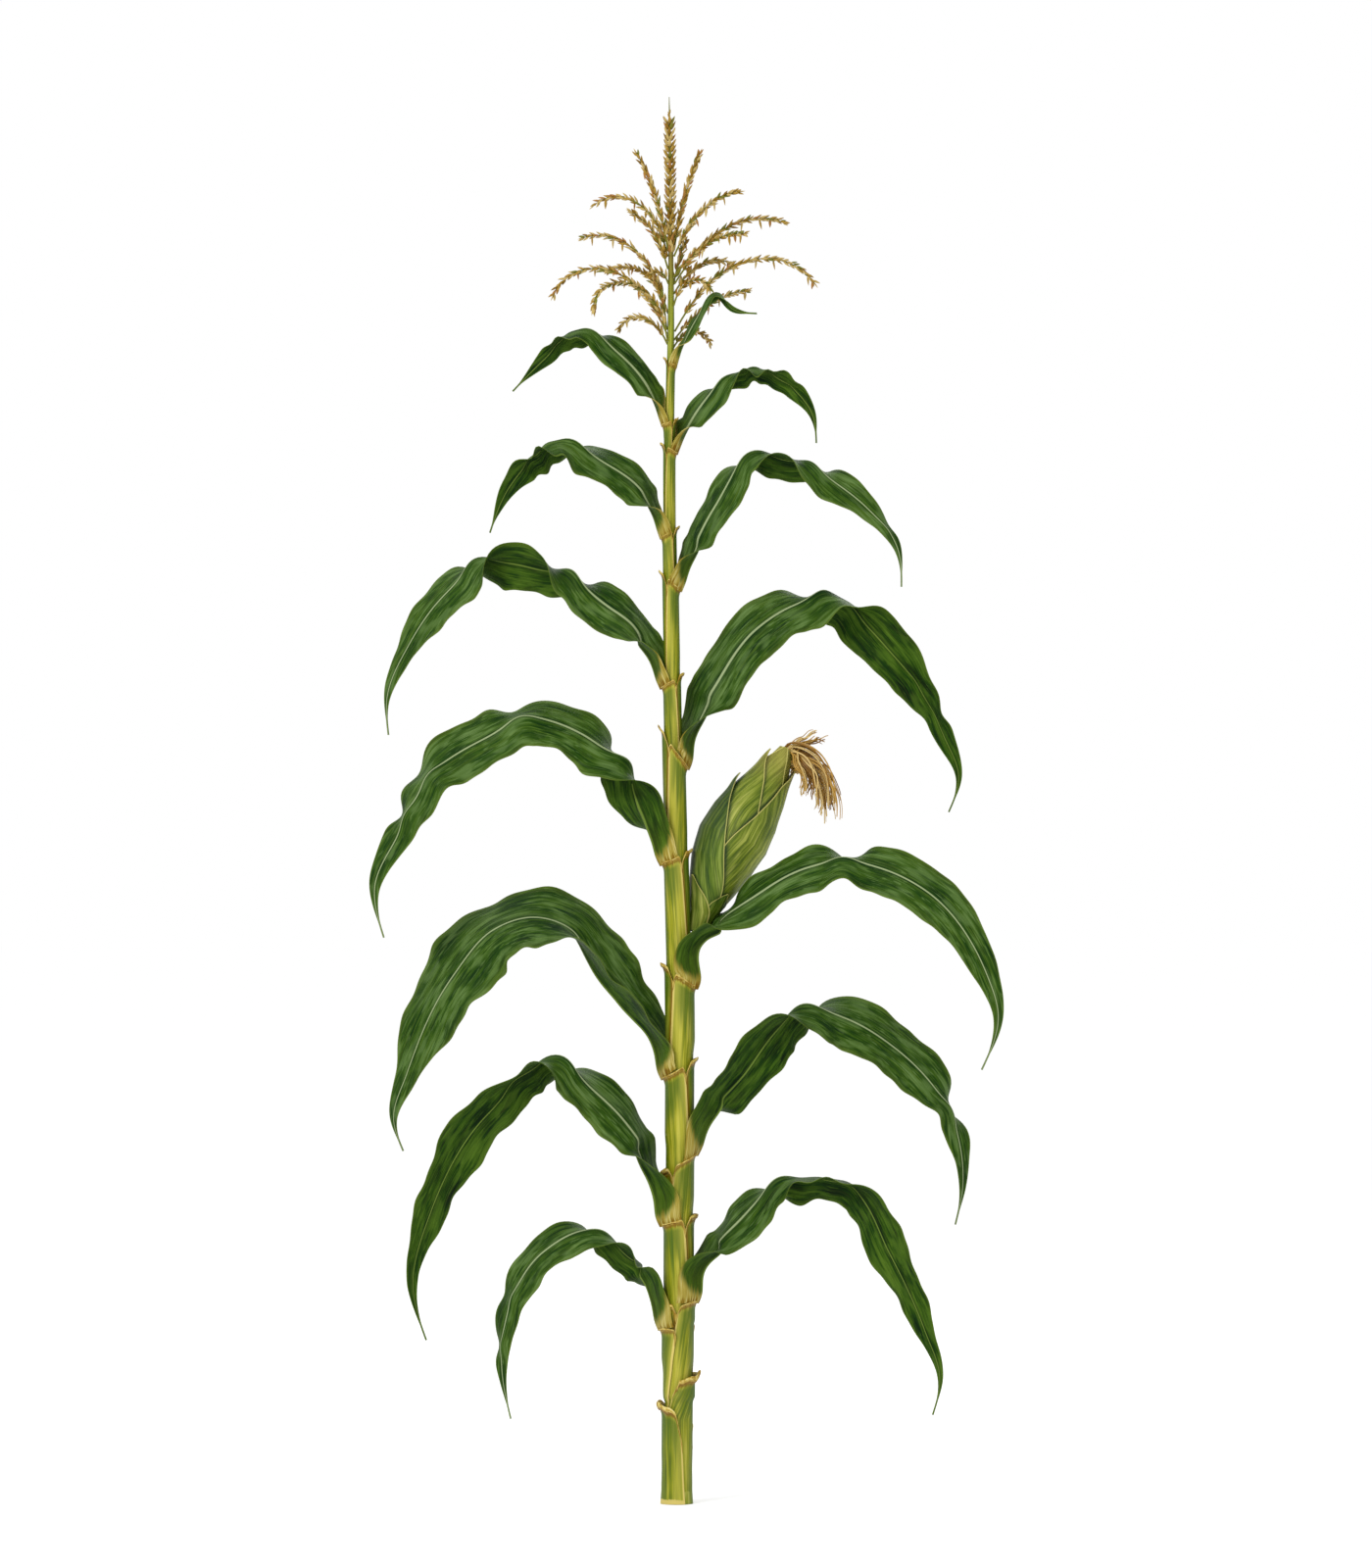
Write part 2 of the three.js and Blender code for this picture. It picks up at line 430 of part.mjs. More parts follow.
// ---------------------------------------------------------------- ear
{
  const ear = line(EAR_LINE), SEG = 12, ROWS = 12;
  const toWorld = (x, y, z) => place(1, EAR_TURN, z, (x - lean(z)) / Math.cos(rad(EAR_TURN)), y, 0);
  const earR = (t) => read(EAR_R.map((r, i) => [i / (EAR_R.length - 1), r]), t);
  const rings = [];
  for (let i = 0; i <= ROWS; i++) {
    const t = i / ROWS, m = ear.at(t * ear.length), r = earR(t);
    rings.push(Array.from({ length: SEG }, (_, j) => {
      const q = 2 * Math.PI * j / SEG, w = r * (1 + 0.035 * Math.cos(3 * q + 4 * t));
      return toWorld(m.a - m.tb * w * Math.cos(q), -w * Math.sin(q), m.b + m.ta * w * Math.cos(q));
    }));
  }
  let husks = solid(loft(rings));
  // free tips of three husk leaves
  for (const [from, round, length, wide] of [[0.72, 20, 62, 16], [0.8, -70, 66, 14], [0.83, 150, 44, 12]]) {
    const tip = [];
    for (let i = 0; i <= 5; i++) {
      const t = from + i / 5 * length / ear.length, m = ear.at(Math.min(1, t) * ear.length), over = Math.max(0, t - 1) * ear.length;
      const r = (t < 1 ? earR(t) : 12) * (1 - 0.1 * i / 5) + 0.6, w = wide * (1 - i / 5) ** 0.8 + 0.8;
      const at = (side, deep) => {
        const q = rad(round) + side * w / Math.max(14, r), k = r - deep;
        return toWorld(m.a + m.ta * over - m.tb * k * Math.cos(q), -k * Math.sin(q), m.b + m.tb * over + m.ta * k * Math.cos(q));
      };
      tip.push([at(-1, 0), at(0, -0.6), at(1, 0), at(1, 1.6), at(0, 1.8), at(-1, 1.6)]);
    }
    husks = husks.add(solid(loft(tip)));
  }
  add('ear_husks', husks, 0x7f9a35, 0.65);

  // short shank between the stalk and the ear
  const base = ear.at(0), back = (d) => [base.a - base.ta * d, base.b - base.tb * d];
  const shank = line([[lean(SHANK_Z) + (SHANK_SEAT + CLEAR + 0.9 * SHANK_R) * Math.cos(rad(EAR_TURN)), SHANK_Z], back(9), back(CLEAR + 0.6)]), sr = [];
  for (let i = 0; i <= 3; i++) {
    const m = shank.at(shank.length * i / 3), r = lerp(SHANK_R, EAR_R[0], i / 3);
    sr.push(Array.from({ length: 10 }, (_, j) => {
      const q = 2 * Math.PI * j / 10;
      return toWorld(m.a - m.tb * r * Math.cos(q), -r * Math.sin(q), m.b + m.ta * r * Math.cos(q));
    }));
  }
  add('ear_shank', solid(loft(sr)), 0x8f9a45, 0.65);

  // silk: clumps of threads that leave the tip of the ear together and hang over
  const end = ear.at(ear.length), root = toWorld(end.a + end.ta * (CLEAR + 0.3), 0, end.b + end.tb * (CLEAR + 0.3));
  let silk = null;
  SILK.forEach(([length, up, tip, turn], k) => {
    const STEPS = 5, rings2 = [];
    let r = 0, z = 0;
    const off = 5.2 * (k % 3 - 1), dir = rad(turn + EAR_TURN);
    for (let i = 0; i <= STEPS; i++) {
      const e = rad(up + (tip - up) * (i / STEPS) ** 0.35), w = lerp(5.5, 1.6, i / STEPS);
      const u = [-Math.sin(e) * Math.cos(dir), -Math.sin(e) * Math.sin(dir), Math.cos(e)], sd = [-Math.sin(dir), Math.cos(dir), 0];
      const c = [root[0] + 3.5 + r * Math.cos(dir), root[1] + off + r * Math.sin(dir), root[2] + 4.2 + z];
      rings2.push(Array.from({ length: 4 }, (_, j) => {
        const q = 2 * Math.PI * j / 4;
        return [0, 1, 2].map((n) => c[n] + w * Math.cos(q) * sd[n] + w * Math.sin(q) * u[n]);
      }));
      r += length / STEPS * Math.cos(e); z += length / STEPS * Math.sin(e);
    }
    const clump = solid(loft(rings2));
    silk = silk ? silk.add(clump) : clump;
  });
  add('ear_silk', silk, 0xa8762c, 0.7);
}

export default plant;
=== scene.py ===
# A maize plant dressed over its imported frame. Lengths are in millimetres until a mesh is made.
import math

import bpy
import numpy as np
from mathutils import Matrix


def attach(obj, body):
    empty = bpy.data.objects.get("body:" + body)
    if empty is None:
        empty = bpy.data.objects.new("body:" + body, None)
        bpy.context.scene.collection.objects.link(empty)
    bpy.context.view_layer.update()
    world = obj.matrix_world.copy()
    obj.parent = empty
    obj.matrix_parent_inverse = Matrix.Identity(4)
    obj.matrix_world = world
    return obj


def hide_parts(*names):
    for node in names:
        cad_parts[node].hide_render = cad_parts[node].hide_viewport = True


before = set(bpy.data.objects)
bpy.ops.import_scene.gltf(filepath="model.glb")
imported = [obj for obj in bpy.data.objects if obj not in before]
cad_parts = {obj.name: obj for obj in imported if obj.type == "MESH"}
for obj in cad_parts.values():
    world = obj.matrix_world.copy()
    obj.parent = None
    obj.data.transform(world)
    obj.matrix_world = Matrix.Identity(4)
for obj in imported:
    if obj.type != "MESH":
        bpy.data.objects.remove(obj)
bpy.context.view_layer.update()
rng = np.random.default_rng(7)
rad = math.radians

# ------------------------------------------------------------ camera
scene = bpy.context.scene
scene.view_settings.view_transform = "Standard"
cam = bpy.data.objects.new("camera", bpy.data.cameras.new("camera"))
scene.collection.objects.link(cam)
scene.camera = cam
FAR, SEEN = 12.0, 2.24    # metres to the plant, and how much height is seen there
EYE_X, EYE_Z = 0.012, 1.0275
FILM = 36.0
cam.location = (EYE_X, -FAR, EYE_Z)
cam.rotation_euler = (rad(90), 0, 0)
cam.data.sensor_fit = "VERTICAL"
cam.data.sensor_height = FILM
cam.data.lens = FILM * FAR / SEEN
cam.data.clip_end = 200.0

# ------------------------------------------------------------ colours, floor, light
WORLD = 1.0
LIGHT = 1.6    # how much light a surface gets in all
LEAF, TASSEL, STEM = 1.85, 1.5, 1.25    # the same for blades, for the tassel, and for stalk and sheaths
SHEEN = 0.012    # what its gloss adds to each channel


def principled(name, colour, rough, spec):
    m = bpy.data.materials.new(name)
    m.use_nodes = True
    p = m.node_tree.nodes["Principled BSDF"]
    p.inputs["Base Color"].default_value = (*colour, 1)
    p.inputs["Roughness"].default_value = rough
    p.inputs["Specular IOR Level"].default_value = spec
    return m


def rgb(r, g, b):
    """A colour given in everyday 0-255 steps, as the shader wants it."""
    return tuple(c / 255 / 12.92 if c <= 10 else ((c / 255 + 0.055) / 1.055) ** 2.4 for c in (r, g, b))


def shade(r, g, b, k=LIGHT):
    """The surface colour that shows as r, g, b under this light."""
    return tuple(max(0.001, c - SHEEN) / k for c in rgb(r, g, b))


bpy.ops.mesh.primitive_plane_add(size=80, location=(0, 0, -0.0005))
floor = bpy.context.object
floor.name = "floor"
ground = principled("floor", (0.86, 0.86, 0.86), 0.9, 0.0)
# as bright as the world where no lamp reaches, so that it has no far edge
glow = ground.node_tree.nodes["Principled BSDF"].inputs
glow["Emission Color"].default_value = (1, 1, 1, 1)
glow["Emission Strength"].default_value = 0.14 * WORLD
floor.data.materials.append(ground)

world = bpy.data.worlds.new("studio")
scene.world = world
world.use_nodes = True
sky = world.node_tree.nodes["Background"].inputs
sky["Color"].default_value = (1, 1, 1, 1)
sky["Strength"].default_value = WORLD


def lamp(name, place, aim, size, watts):
    d = bpy.data.lights.new(name, "AREA")
    d.shape, d.size, d.energy = "DISK", size, watts
    o = bpy.data.objects.new(name, d)
    scene.collection.objects.link(o)
    o.location = place
    v = np.array(place) - np.array(aim)
    v = v / np.linalg.norm(v)
    o.rotation_euler = (math.acos(v[2]), 0, math.atan2(v[0], -v[1]))


lamp("key", (-3.0, -4.5, 4.6), (0, 0, 1.0), 1.8, 230)
lamp("fill", (4.5, -4.0, 2.0), (0, 0, 1.0), 3.0, 12)
lamp("back", (1.5, 4.5, 4.0), (0, 0, 1.2), 2.5, 50)

# ------------------------------------------------------------ the plant's rule, as in its source
STALK_TOP, SPIKE_TOP = 1800.0, 2009.0
CLEAR = 0.3    # air between one tube and the next
SLIP, PLAY = 0.15, 0.55    # what more there is where sheath or stalk lies in a sheath
GROUND_R, FOOT_R, FOOT_H = 24.5, 22.8, 50.0    # the lowest sheath at the ground, and where it is slimmest
NEST, FLARE_H = 13.0, 14.0    # how deep a sheath sits in the next, height of its flare
CLASP = rad(85)    # how far a blade's foot reaches round the stalk, each way
SOFT, TENT, RUFFLE, GUTTER = 34.0, 72.0, 0.28, 48.0    # how a blade turns over, folds there, widens and rolls up
LEAN = [[0, 0], [400, 2], [700, 3], [1040, -5], [1300, -10], [1450, -12], [1700, -9.5], [2009, -12]]

# a sheath's free margin: degrees from the far side to the front at the top, degrees it turns in each 100 mm
# further down, share of the girth left open, depth of the notch, and how far the notch reaches on both sides
SEAM = (66, 17, 0.0, 13, 0.045, 0.045)
MOST_DRIFT = 60


def leaf(name, rank, collar, slant, r, wide, full, turn, face, over, flat, bends,
         flare=4.0, open=60, start=0.3, seam=SEAM):
    """rank: -1 left, 1 right. collar, slant: height of the sheath's rim at the blade, and how much lower it is on
    the far side. r: the sheath's radius there. wide: half the blade's width, full: where it gets that wide.
    turn: degrees out of the plane of the ranks. face: which side shows first. over: where the blade turns over.
    flat: where it lies flatter, and by how much. bends: its midrib, out and up from the collar.
    flare: how far the rim stands out. open: where the gutter opens. start: how much its foot is rolled."""
    return dict(name=name, rank=rank, collar=collar, slant=slant, r=r, wide=wide, full=full, turn=turn, face=face,
                over=over, flat=flat, bends=bends, flare=flare, open=open, start=start, seam=seam)


LEAVES = [
    leaf("leaf_14", 1, 1624, 12, 6.4, 11, 0.3, -22, 1, [0.62], [],
         [[42, 69], [72, 101], [96, 80], [133, 73]]),
    leaf("leaf_13", -1, 1541, 8, 8.2, 23, 0.42, 8, 1, [0.585], [[0.65, 0.5], [0.73, 0.3]],
         [[28, 48], [76, 103], [113, 127], [146, 125], [182, 94], [227, 49]]),
    leaf("leaf_12", 1, 1501, 12, 8.9, 21, 0.3, 10, 1, [0.42], [[0.55, 0.85], [0.62, 0.4], [0.72, 0.4]],
         [[28, 40], [56, 77], [126, 116], [184, 89], [207, 59], [214, 15]]),
    leaf("leaf_11", -1, 1380, 14, 10.2, 33, 0.38, -10, 1, [0.545], [[0.61, 0.7], [0.69, 0.5]],
         [[41, 65], [90, 101], [159, 124], [203, 104], [231, 72], [260, 5]]),
    leaf("leaf_10", 1, 1305, 25, 11.8, 29, 0.25, -8, 1, [0.43, 0.575], [[0.84, 0.4]],
         [[29, 45], [64, 116], [118, 183], [200, 168], [284, 114], [326, 59], [332, 3]], open=80),
    leaf("leaf_09", -1, 1166, 18, 12.9, 37, 0.3, 12, 1, [0.35, 0.555], [],
         [[49, 77], [102, 119], [163, 155], [267, 175], [331, 135], [387, 62], [420, -15], [418, -68]],
         open=115),
    leaf("leaf_08", 1, 1051, 57, 16.6, 41, 0.3, 12, 1, [0.475], [[0.53, 0.45], [0.72, 0.35], [0.8, 0.4]],
         [[26, 49], [62, 117], [121, 197], [172, 228], [232, 233], [323, 161], [397, 46], [419, -16], [404, -64]],
         open=105),
    leaf("leaf_07", -1, 914, 17, 18, 42, 0.3, -8, -1, [0.22], [[0.45, 0.4], [0.66, 0.4], [0.75, 0.55]],
         [[47, 73], [72, 116], [139, 184], [205, 205], [276, 177], [339, 138], [398, 43], [433, -33],
          [420, -105]]),
    leaf("leaf_06", 1, 738, 30, 21.3, 37, 0.3, -15, 1, [], [[0.44, 0.5]],
         [[24, 60], [90, 112], [196, 171], [250, 177], [371, 131], [450, 21], [467, -37], [443, -115]],
         open=150, start=0.0),
    leaf("leaf_05", -1, 608, 25, 20.9, 62, 0.5, 10, 1, [], [],
         [[38, 66], [104, 157], [154, 217], [211, 228], [268, 209], [329, 144], [398, 4], [418, -63],
          [404, -108]], open=370),
    leaf("leaf_04", 1, 500, -30, 21.2, 43, 0.25, 8, -1, [0.39], [[0.765, 0.5]],
         [[43, 52], [90, 108], [158, 184], [205, 195], [318, 143], [395, 47], [411, -46], [400, -105]],
         open=90),
    leaf("leaf_03", -1, 399, 10, 21.8, 41, 0.35, -12, 1, [0.385], [[0.47, 0.4]],
         [[39, 74], [116, 181], [186, 223], [280, 158], [362, 19], [387, -85], [367, -161]], open=125),
    leaf("leaf_02", 1, 290, -12, 23.2, 35, 0.25, -12, 1, [0.335], [[0.41, 0.4], [0.47, 0.5]],
         [[34, 49], [78, 101], [152, 161], [257, 156], [306, 73], [357, -35], [380, -109], [369, -158]],
         flare=1.5, open=115, seam=(84, 34, 0.0, 13, 0.045, 0.045)),
    leaf("leaf_01", -1, 250, 0, 24, 29, 0.45, 8, -1, [0.34], [[0.2, 0.4], [0.66, 0.3], [0.8, 0.45]],
         [[44, 63], [95, 115], [145, 132], [195, 107], [250, 8], [256, -55], [243, -132]],
         seam=(97, -35, 0.36, 10, 0.03, 0.03)),
]
# the two old sheaths whose blades are gone; their rims end in a lip
BARE = [dict(name="sheath_02", rank=1, collar=180, slant=-12, r=24, lip=3.5, seam=(86, 110, 0.32, 12, 0.03, 0.03)),
        dict(name="sheath_01", rank=-1, collar=140, slant=-35, r=23.2, lip=3.5, seam=(75, 8, 0.28, 30, 0.09, 0.03))]
# rank, height on the stalk, length, its slope in degrees at its foot and at its tip, turn
BRANCHES = [
    [-1, 1792, 146, 79, 58, -25], [1, 1790, 148, 80, 66, 25],
    [-1, 1781, 162, 77, -45, 20], [1, 1781, 140, 66, 2, -22],
    [-1, 1763, 102, 74, 22, -35], [1, 1752, 123, 50, -8, -35],
    [-1, 1700, 128, 74, -35, 40], [1, 1742, 200, 58, -22, 15],
    [-1, 1742, 40, 70, -90, -45], [1, 1741, 70, 78, 68, 50],
    [1, 1728, 112, 60, -35, 38], [1, 1711, 80, 74, -90, -45],
    [-1, 1676, 208, 84, -22, -15], [1, 1674, 262, 61, -58, 18],
    [-1, 1671, 227, 66, -72, 12], [-1, 1660, 182, 80, -105, -42],
    [1, 1662, 137, 52, 4, 40], [-1, 1656, 98, 66, -75, 35],
    [1, 1650, 75, 60, -90, 58],
]
# the ear's middle line, its radius at even steps along it, and how far it is turned to the front or back
EAR_LINE = [[36, 843], [53, 887], [72, 932], [99, 983], [127, 1028], [148, 1063], [156, 1077]]
EAR_R = [14, 28, 39, 45, 42, 34, 23, 12]
EAR_TURN = 20
EAR_SPAN = 260
SHANK_R, SHANK_Z, SHANK_SEAT = 9.5, 818, 17.9
# bunches of silk: length, slope in degrees at the ear and at the end, turn
SILK = [[58, 74, 10, -10], [84, 36, -92, 60], [122, 45, -94, 10],
        [134, 42, -96, -38], [114, 38, -97, 40], [94, 30, -98, -75]]


def lerp(a, b, t):
    return a + (b - a) * t


def smooth(a, b, x):
    t = np.clip((np.asarray(x, float) - a) / (b - a), 0, 1)
    return t * t * (3 - 2 * t)


class Line:
    """A smooth line through 2-D points, measured by its length.
    Each slope is that of the parabola through three knots."""

    def __init__(self, knots):
        k = np.array(knots, float)
        d = np.diff(k, axis=0)
        h = np.hypot(d[:, 0], d[:, 1])[:, None]
        d = d / h
        m = np.zeros_like(k)
        m[1:-1] = (d[:-1] * h[1:] + d[1:] * h[:-1]) / (h[:-1] + h[1:])
        m[0], m[-1] = (3 * d[0] - m[1]) / 2, (3 * d[-1] - m[-2]) / 2
        t = (np.arange(24) / 24)[:, None]
        pts = []
        for i in range(len(h)):
            pts.append((2 * t**3 - 3 * t**2 + 1) * k[i] + (t**3 - 2 * t**2 + t) * h[i] * m[i]
                       + (3 * t**2 - 2 * t**3) * k[i + 1] + (t**3 - t**2) * h[i] * m[i + 1])
        self.p = np.vstack(pts + [k[-1:]])
        self.s = np.r_[0, np.cumsum(np.hypot(*np.diff(self.p, axis=0).T))]
        self.length = float(self.s[-1])
        g = np.gradient(self.p, self.s, axis=0)
        self.g = g / np.hypot(g[:, 0], g[:, 1])[:, None]

    def at(self, x):
        a, b, ta, tb = [np.interp(x, self.s, c) for c in (self.p[:, 0], self.p[:, 1], self.g[:, 0], self.g[:, 1])]
        n = np.hypot(ta, tb)
        return a, b, ta / n, tb / n


LEAN_LINE = Line(LEAN)


def lean(z):
    return np.interp(z, LEAN_LINE.p[:, 0], LEAN_LINE.p[:, 1])


def place(rank, turn, foot, r, y, z):
    """Points r out from the stalk, y in front of that and z above the height foot, turned with their rank."""
    c, k = math.cos(rad(turn)), math.sin(rad(turn))
    return np.stack(np.broadcast_arrays(lean(foot) + rank * (r * c - y * k), r * k + y * c, foot + z), -1)


def wall(r):
    """How thick the wall of a sheath is taken to be."""
    return 0.06 * r + 0.35


STACK = LEAVES + BARE
for i, p in enumerate(STACK):
    below = STACK[i + 1] if i + 1 < len(STACK) else None
    p["id"] = i
    p["arc"] = 1.1 * p["r"] + 1.2
    p["nest"] = min(p["r"], below["r"] - wall(below["r"]) - CLEAR - SLIP) if below else p["r"]
    p["foot"] = below["collar"] + min(0, below["slant"]) - NEST if below else 0.0
    p["free"] = below["collar"] + max(0, below["slant"]) + 4 if below else FOOT_H
within = wall(BARE[-1]["r"]) + PLAY
FOOT_PROFILE = [[0, GROUND_R], [20, lerp(GROUND_R, FOOT_R, 0.75)], [FOOT_H, FOOT_R]]
stalk_r = [[z, r - within] for z, r in FOOT_PROFILE]
for p in STACK[-2::-1]:
    stalk_r.append([p["foot"], min(p["nest"] - wall(p["r"]) - PLAY, stalk_r[-1][1])])
stalk_r += [[1624, 5.1], [1700, 4.7], [1755, 4.1], [STALK_TOP, 3.4]]
stalk_r = np.array(stalk_r)


# ------------------------------------------------------------ meshes
class Skin:
    """Collects grids of points and makes one mesh object of them."""

    def __init__(self):
        self.v, self.f, self.mi, self.attr, self.n = [], [], [], {}, 0

    def grid(self, pts, slot=0, caps=None, **attr):
        """pts is rows x columns x 3, each row a closed ring. slot is one number, or one for each column's faces.
        caps: None, "fan" (round a middle point) or "strip" (between the two sides of a folded row)."""
        n, m = pts.shape[:2]
        idx = np.arange(n * m).reshape(n, m) + self.n
        after = np.roll(idx, -1, 1)
        slots = np.broadcast_to(slot, (n - 1, m)).reshape(-1)
        faces = [np.stack([idx[:-1], after[:-1], after[1:], idx[1:]], -1).reshape(-1, 4)]
        mi, extra_v = [slots], []
        if caps == "strip":
            for row, flip in ((0, True), (n - 1, False)):
                h = m // 2
                q = np.array([[idx[row, j], idx[row, j + 1], idx[row, m - 2 - j], idx[row, m - 1 - j]]
                              for j in range(h - 1)])
                faces.append(q[:, ::-1] if flip else q)
                mi.append(np.full(len(q), slots[-1]))
        if caps == "fan":
            for row, flip in ((0, True), (n - 1, False)):
                at = self.n + n * m + len(extra_v)
                extra_v.append(pts[row].mean(0)[None])
                q = np.array([[idx[row, j], idx[row, (j + 1) % m], at, at] for j in range(m)])
                faces.append(q[:, [1, 0, 2, 3]] if flip else q)
                mi.append(np.full(len(q), slots[0]))
        total = np.vstack([pts.reshape(-1, 3)] + extra_v)
        # the grid may wind either way: the sign of its volume says which
        f = np.vstack(faces)
        x, y, z, w = (total[f[:, i] - self.n] for i in range(4))
        if np.einsum("ij,ij->", x, np.cross(y, z)) + np.einsum("ij,ij->", x, np.cross(z, w)) < 0:
            f = np.where((f[:, 2] == f[:, 3])[:, None], f[:, [1, 0, 2, 3]], f[:, ::-1])
        self.v.append(total)
        self.f.append(f)
        self.mi += mi
        for k in {**self.attr, **attr}:
            have = self.attr.setdefault(k, [np.zeros(self.n)] if self.n else [])
            val = np.broadcast_to(np.asarray(attr.get(k, 0.0), float), (n, m)).reshape(-1)
            have.append(np.r_[val, np.full(len(extra_v), val[-1])] if extra_v else val)
        self.n += len(total)

    def make(self, name, mats, sharp=50):
        v = np.vstack(self.v) / 1000
        f = np.vstack(self.f).astype(np.int32)
        mi = np.concatenate(self.mi)
        tri = f[:, 2] == f[:, 3]
        count = np.where(tri, 3, 4)
        start = np.r_[0, np.cumsum(count)[:-1]]
        keep = np.ones_like(f, bool)
        keep[tri, 3] = False
        loops = f[keep]
        me = bpy.data.meshes.new(name)
        me.vertices.add(len(v))
        me.vertices.foreach_set("co", v.ravel())
        me.loops.add(len(loops))
        me.loops.foreach_set("vertex_index", loops)
        me.polygons.add(len(f))
        me.polygons.foreach_set("loop_start", start)
        me.polygons.foreach_set("material_index", mi.astype(np.int32))
        me.polygons.foreach_set("use_smooth", np.ones(len(f), bool))
        me.update(calc_edges=True)
        for k, vals in self.attr.items():
            me.attributes.new(k, "FLOAT", "POINT").data.foreach_set("value", np.concatenate(vals))
        for m in mats:
            me.materials.append(m)
        me.set_sharp_from_angle(angle=rad(sharp))
        ob = bpy.data.objects.new(name, me)
        scene.collection.objects.link(ob)
        return ob


def both_sides(x, like=0.0):
    """Values over the upper side of a sheet, and back over its under side."""
    x = x + 0 * like
    return np.concatenate([x, x[:, ::-1]], 1)


def tube(skin, pts, radii, sides, **attr):
    """A round tube of varying radius through points."""
    pts = np.asarray(pts, float)
    t = np.gradient(pts, axis=0)
    t /= np.linalg.norm(t, axis=1)[:, None] + 1e-12
    ref = np.array([0.0, 1.0, 0.0]) if abs(t[0][1]) < 0.9 else np.array([1.0, 0, 0])
    a = ref - t * (t @ ref)[:, None]
    a /= np.linalg.norm(a, axis=1)[:, None] + 1e-12
    b = np.cross(t, a)
    q = (2 * math.pi * np.arange(sides) / sides)[None, :, None]
    r = np.asarray(radii, float)[:, None, None]
    skin.grid(pts[:, None] + r * (np.cos(q) * a[:, None] + np.sin(q) * b[:, None]), caps="fan", **attr)


# ------------------------------------------------------------ materials
class Nodes:
    """A material in the making. Most methods add a node and return its output."""

    def __init__(self, name, rough, spec):
        self.m = principled(name, (0.5, 0.5, 0.5), rough, spec)
        self.t = self.m.node_tree
        self.p = self.t.nodes["Principled BSDF"]

    def attr(self, name):
        n = self.t.nodes.new("ShaderNodeAttribute")
        n.attribute_name = name
        return n.outputs["Fac"]

    def math(self, op, a, b=0.0, c=0.0):
        n = self.t.nodes.new("ShaderNodeMath")
        n.operation = op
        for i, x in enumerate((a, b, c)):
            self.put(n.inputs[i], x)
        return n.outputs[0]

    def times(self, a, b):
        return self.math("MULTIPLY", a, b)

    def plus(self, a, b):
        return self.math("ADD", a, b)

    def minus(self, a, b):
        return self.math("SUBTRACT", a, b)

    def put(self, socket, x):
        if isinstance(x, bpy.types.NodeSocket):
            self.t.links.new(x, socket)
        elif isinstance(x, tuple):
            socket.default_value = (*x, 1)
        else:
            socket.default_value = x

    def ramp(self, x, a, b, lo=0.0, hi=1.0):
        """Smooth step of x from a to b, giving lo to hi."""
        n = self.t.nodes.new("ShaderNodeMapRange")
        n.interpolation_type = "SMOOTHSTEP"
        for i, q in enumerate((x, a, b, lo, hi)):
            self.put(n.inputs[i], q)
        return n.outputs[0]

    def vec(self, x, y, z):
        n = self.t.nodes.new("ShaderNodeCombineXYZ")
        for i, q in enumerate((x, y, z)):
            self.put(n.inputs[i], q)
        return n.outputs[0]

    def noise(self, v, detail, rough):
        n = self.t.nodes.new("ShaderNodeTexNoise")
        self.put(n.inputs["Vector"], v)
        n.inputs["Scale"].default_value = 1.0
        n.inputs["Detail"].default_value = detail
        n.inputs["Roughness"].default_value = rough
        return n.outputs["Fac"]

    def strokes(self, across, along, seed):
        """Gives a noise drawn out along the veins, with a marks across and b along for each unit."""
        def marks(a, b, shift, detail=3.0):
            at = self.vec(self.times(across, a), self.times(along, b), self.plus(seed, shift))
            return self.noise(at, detail, 0.6)
        return marks

    def colours(self, x, stops):
        n = self.t.nodes.new("ShaderNodeValToRGB")
        e = n.color_ramp.elements
        while len(e) < len(stops):
            e.new(0.5)
        for k, (at, col) in zip(e, stops):
            k.position = at
            k.color = (*col, 1)
        self.put(n.inputs[0], x)
        return n.outputs[0]

    def mix(self, f, a, b):
        n = self.t.nodes.new("ShaderNodeMix")
        n.data_type = "RGBA"
        self.put(n.inputs[0], f)
        self.put(n.inputs[6], a)
        self.put(n.inputs[7], b)
        return n.outputs[2]

    def bump(self, h, strength, distance):
        n = self.t.nodes.new("ShaderNodeBump")
        n.inputs["Strength"].default_value = strength
        n.inputs["Distance"].default_value = distance
        self.put(n.inputs["Height"], h)
        self.put(self.p.inputs["Normal"], n.outputs[0])

    def lay(self, tone, x, a, b, lo, hi):
        """Lays a tone over the colour so far; its share goes from lo to hi as x goes from a to b."""
        self.col = self.mix(self.ramp(x, a, b, lo, hi), self.col, tone)

    def done(self):
        self.put(self.p.inputs["Base Color"], self.col)
        return self.m


